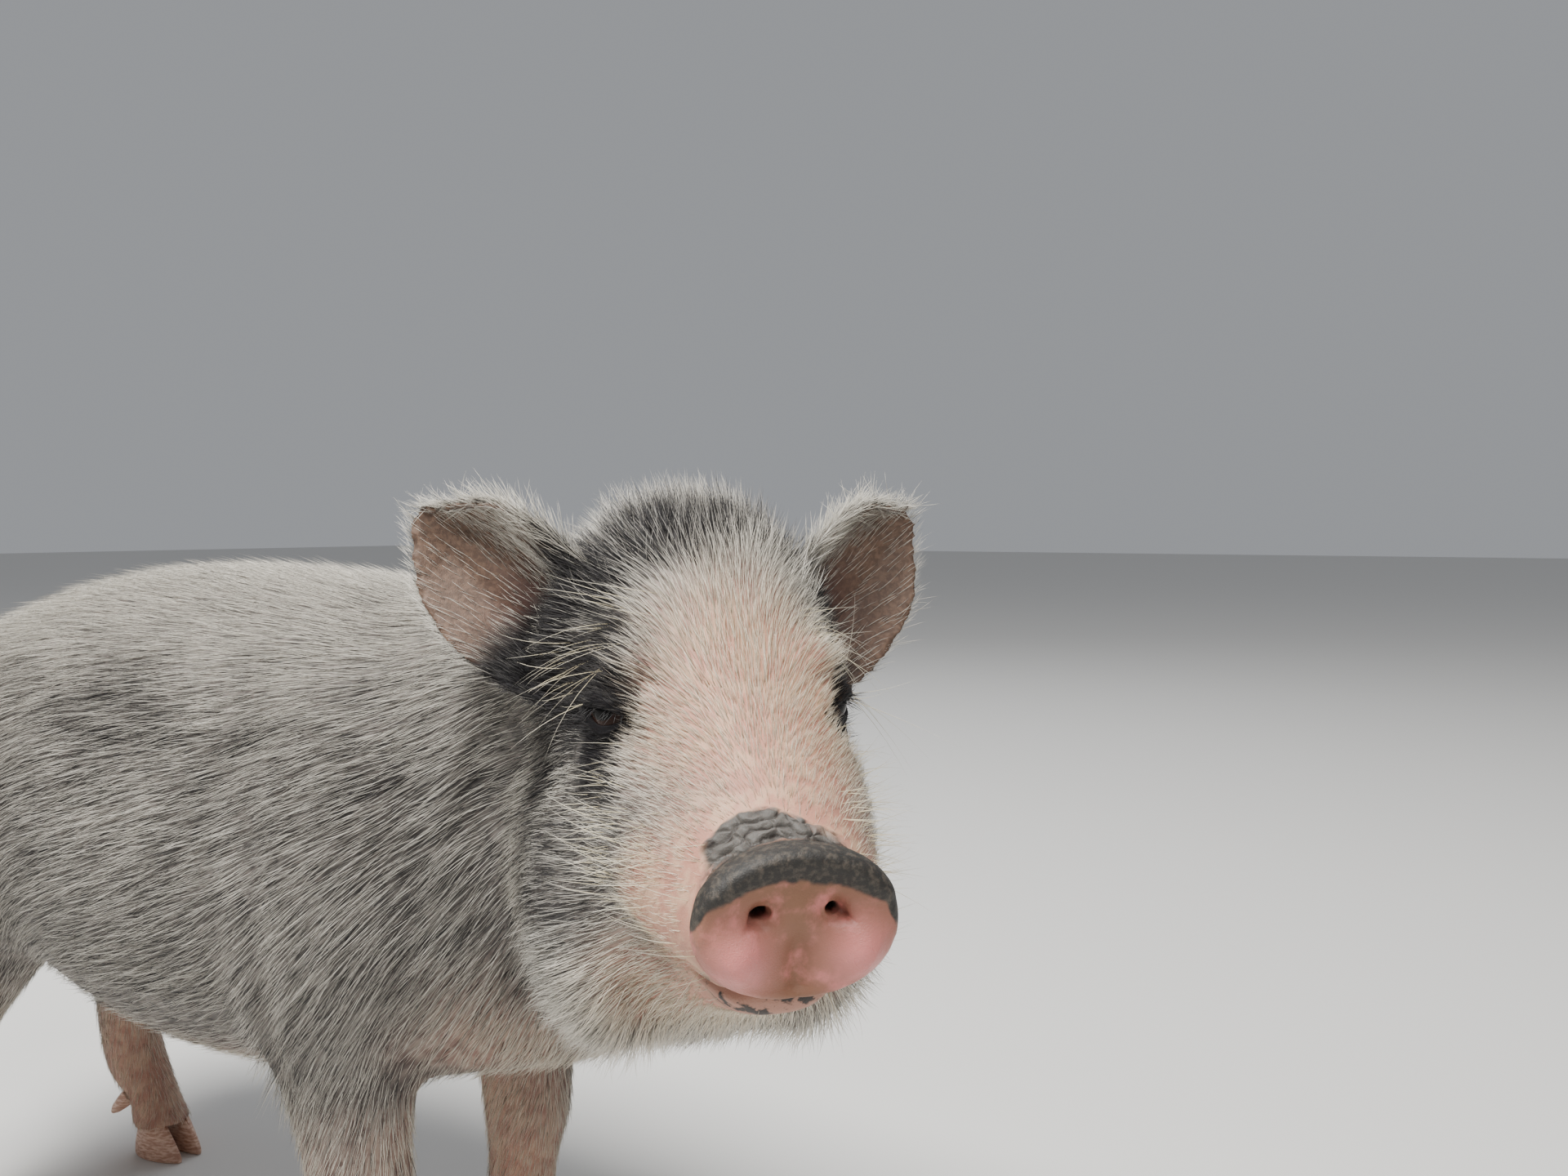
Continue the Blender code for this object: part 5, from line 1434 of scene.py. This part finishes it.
def hairSizes(points, head, body, zones):
    # length and lift of the coat from place to place, as shares of the piece's own
    onHead, onLeg = zones["head"], zones["leg"]
    size, lift = np.ones(len(points)), np.ones(len(points))
    poll = onHead * ramp(head[:, 1], 0.012, 0.036) * ramp(head[:, 2], 0.024, 0.040)
    size = np.where(onHead, 0.40 + 0.60 * ramp(head[:, 1], -0.058, 0.000) + 0.25 * poll, size)
    jaw = ramp(head[:, 1], 0.005, 0.045) * ramp(-head[:, 2], -0.010, 0.010)
    size *= np.where(onHead, 1 + 0.6 * np.maximum(ramp(-head[:, 2], 0.052, 0.076), jaw), 1)
    lift = np.where(onHead, 1 + 1.3 * poll + 0.3 * ramp(-head[:, 2], 0.056, 0.070) - 0.25 * jaw, lift)
    for side in (1, -1):
        local = seenFrom(eyeFrame(side), points)
        gap = lidDistance(local)[0]
        around = (np.linalg.norm(local, axis=1) < 0.026) & (local[:, 1] < 0)
        size = np.where(around, size * (0.30 + 0.70 * ramp(gap, 0.002, 0.013)), size)
    size = np.where(onLeg, 0.65 + 0.35 * ramp(body[:, 2], 0.04, 0.12), size)
    size = np.where(onLeg, size * (0.75 + 0.25 * ramp(body[:, 2], 0.016, 0.035)), size)
    lift *= np.where(onHead, 1 + 0.7 * np.clip(1 - size, 0, 1), 1)
    return size, lift


def bareSkin(points, head, body, onHead, size):
    # how thickly the coat grows, 0 where nothing does: disc and folds, inside of the lids, lips, soles
    forward = -head[:, 1]
    bare = 1 - ramp(forward, 0.060, 0.070) * onHead
    bare *= 1 - 0.62 * ramp(forward, 0.040, 0.060) * onHead
    bare *= 1 - 0.5 * onHead * ramp(forward, 0.030, 0.052) * ramp(-head[:, 2], 0.028, 0.040) * ramp(np.abs(head[:, 0]), 0.010, 0.016)
    bare *= 1 - ramp(foldField(head)[0], 0.05, 0.4)
    bare *= 1 - 0.93 * ramp(forward, 0.046, 0.058) * ramp(-head[:, 2], 0.052, 0.056) * ramp(head[:, 2], -0.086, -0.078)
    for side in (1, -1):
        local = seenFrom(eyeFrame(side), points)
        gap = lidDistance(local)[0]
        inside = (np.linalg.norm(local, axis=1) < 0.020) & (local[:, 1] < 0)
        bare = np.where(inside, bare * ramp(gap, 0.0012, 0.0026), bare)
    closer = np.clip(1 / np.maximum(size, 0.2), 1, 2.6) ** 0.8  # short hair stands closer
    return bare * np.where(onHead, closer, 1) * ramp(body[:, 2], 0.012, 0.016)


def dressCoat(skin):
    host = newObject("coatHost", skin.data.copy())
    data = host.data
    points, normals = pointsOf(data), normalsOf(data)
    owners = ownersOf(points)
    head = seenFrom(headFrame, points)
    body = points - np.array(bodyOrigin)
    onHead = startsWith(owners, "head", "snout")
    onEar = startsWith(owners, "ear")
    onLeg = np.char.find(owners, "leg") >= 0
    onNeck = startsWith(owners, "neck")
    onTorso = startsWith(owners, "torso")
    size, lift = hairSizes(points, head, body, {"head": onHead, "leg": onLeg})
    bare = bareSkin(points, head, body, onHead, size)
    ears = earMasks(points, normals, owners)
    dark = readValues(data, "dark")
    dark *= 1 - 0.40 * ramp(head[:, 1], 0.050, 0.090) * ~(onHead | onEar)  # pale hair lies over the dark skin of the body
    storeValues(data, "dark", np.where(onEar & (dark < 0.7), dark * (1 - ears["inner"]), dark))
    storeValues(data, "lie", lieOfCoat(points, normals, owners), "FLOAT_VECTOR")
    storeValues(data, "size", size)
    storeValues(data, "lift", lift)
    left = body[:, 0] > 0
    headLeft = head[:, 0] > 0
    under = normals[:, 2] < -0.45
    top = (normals[:, 2] > 0.62) & onTorso
    brow = onHead & (head[:, 2] > -0.012 + 0.25 * np.minimum(head[:, 1], 0))
    zones = {
        "coatBack": (top, barrelMap, "hide"),
        "coatFlankLeft": (onTorso & ~top & ~under & left, barrelMap, "hide"),
        "coatFlankRight": (onTorso & ~top & ~under & ~left, barrelMap, "hide"),
        "coatBelly": (onTorso & under, barrelMap, "hide"),
        "coatNeckLeft": (onNeck & headLeft, barrelMap, "hide"),
        "coatNeckRight": (onNeck & ~headLeft, barrelMap, "hide"),
        "coatBrow": (brow, ballMap, "face"),
        "coatCheekLeft": (onHead & ~brow & headLeft, ballMap, "face"),
        "coatCheekRight": (onHead & ~brow & ~headLeft, ballMap, "face"),
        "coatForelegs": (onLeg & (body[:, 1] < 0.12), legMap, "hide"),
        "coatHindlegs": (onLeg & (body[:, 1] > 0.12), legMap, "hide"),
        "coatTail": (startsWith(owners, "tail"), barrelMap, "hide"),
    }
    for name, (zone, unwrap, slot) in zones.items():
        growHair(host, name, zone * bare, {**coatCommon, **coats[name]}, materials["coat"], unwrap)
    # ears: close on the back and along the upper part, sparse in the hollow
    thick = np.clip(1 - 0.90 * ears["inner"] * (1 - 0.92 * ears["upper"]) * (dark < 0.7), 0, 1)
    growHair(host, "coatEars", onEar * thick, {**coatCommon, **coats["coatEars"]}, materials["coat"], earMap)
    growHair(host, "earFringe", onEar * ears["edge"] ** 2, longHairs["earFringe"], materials["fringe"], earMap)
    storeValues(data, "size", np.ones(len(points)))
    storeValues(data, "lift", np.ones(len(points)))
    lids = np.zeros(len(points))
    way = np.zeros((len(points), 3))
    for side in (1, -1):
        local = seenFrom(eyeFrame(side), points)
        gap, x, z = lidDistance(local)
        near = (np.linalg.norm(local, axis=1) < 0.0135) & (local[:, 1] < 0)
        lids = np.where(near & (z > 0), bump(gap, 0.0005, 0.0005), lids)
        fan = np.column_stack([0.5 * x / eyeShape["halfLength"], np.zeros(len(x)), np.full(len(x), 0.6)])
        way = np.where(near[:, None], fan @ np.array(eyeFrame(side).to_3x3()).T, way)
    way -= normals * np.sum(way * normals, axis=1)[:, None]
    storeValues(data, "lie", way + np.array((0, 1e-5, 0)), "FLOAT_VECTOR")
    growHair(host, "lashes", lids, longHairs["lashes"], materials["lash"], ballMap)
    for name, spots in longSpots.items():
        grow, way = spotField(spots, head, normals)
        storeValues(data, "lie", way, "FLOAT_VECTOR")
        grow *= onHead | onNeck if name != "whiskers" else onHead * (head[:, 1] > -0.070)
        material = materials["coat"] if name in ("chinHairs", "pollBristles") else materials["straw"]
        growHair(host, name, grow * np.maximum(bare, 0.3 * onHead), longHairs[name], material, ballMap)
    bpy.data.objects.remove(host)


# Making it

groups = {"mottle": mottleGroup(), "bristles": bristleTree()}
materials = {
    "skin": skinMaterial(), "coat": coatMaterial(), "eye": eyeMaterial(), "horn": hornMaterial(),
    "straw": bristleMaterial("strawHair", coatTints["straw"], coatTints["white"]),
    "fringe": bristleMaterial("fringeHair", coatTints["silver"], coatTints["white"]),
    "lash": bristleMaterial("lashHair", coatTints["charcoal"], coatTints["slate"]),
}
buildCamera()
buildStage()
print("stage, light and camera set")
skin = buildSkin()
skinPoints, skinNormals = pointsOf(skin.data), normalsOf(skin.data)
skinOwners = ownersOf(skinPoints)
marks = {**markings(skinPoints, skinOwners), **earMasks(skinPoints, skinNormals, skinOwners)}
for name in ("dark", "warm", "disc", "cap", "folds", "crease", "pit", "lobe", "lip", "inner", "deep"):
    storeValues(skin.data, name, marks[name])
skin.data.materials.clear()
skin.data.materials.append(materials["skin"])
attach(skin, "root")
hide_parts(*fleshNodes())
print("skin marked")
for side in (1, -1):
    buildEye(side)
for node in [name for name in frame["nodes"] if name.startswith(("claw", "dewclaw"))]:
    buildClaw(node)
print("eyes and claws made")
dressCoat(skin)
print("coat grown")
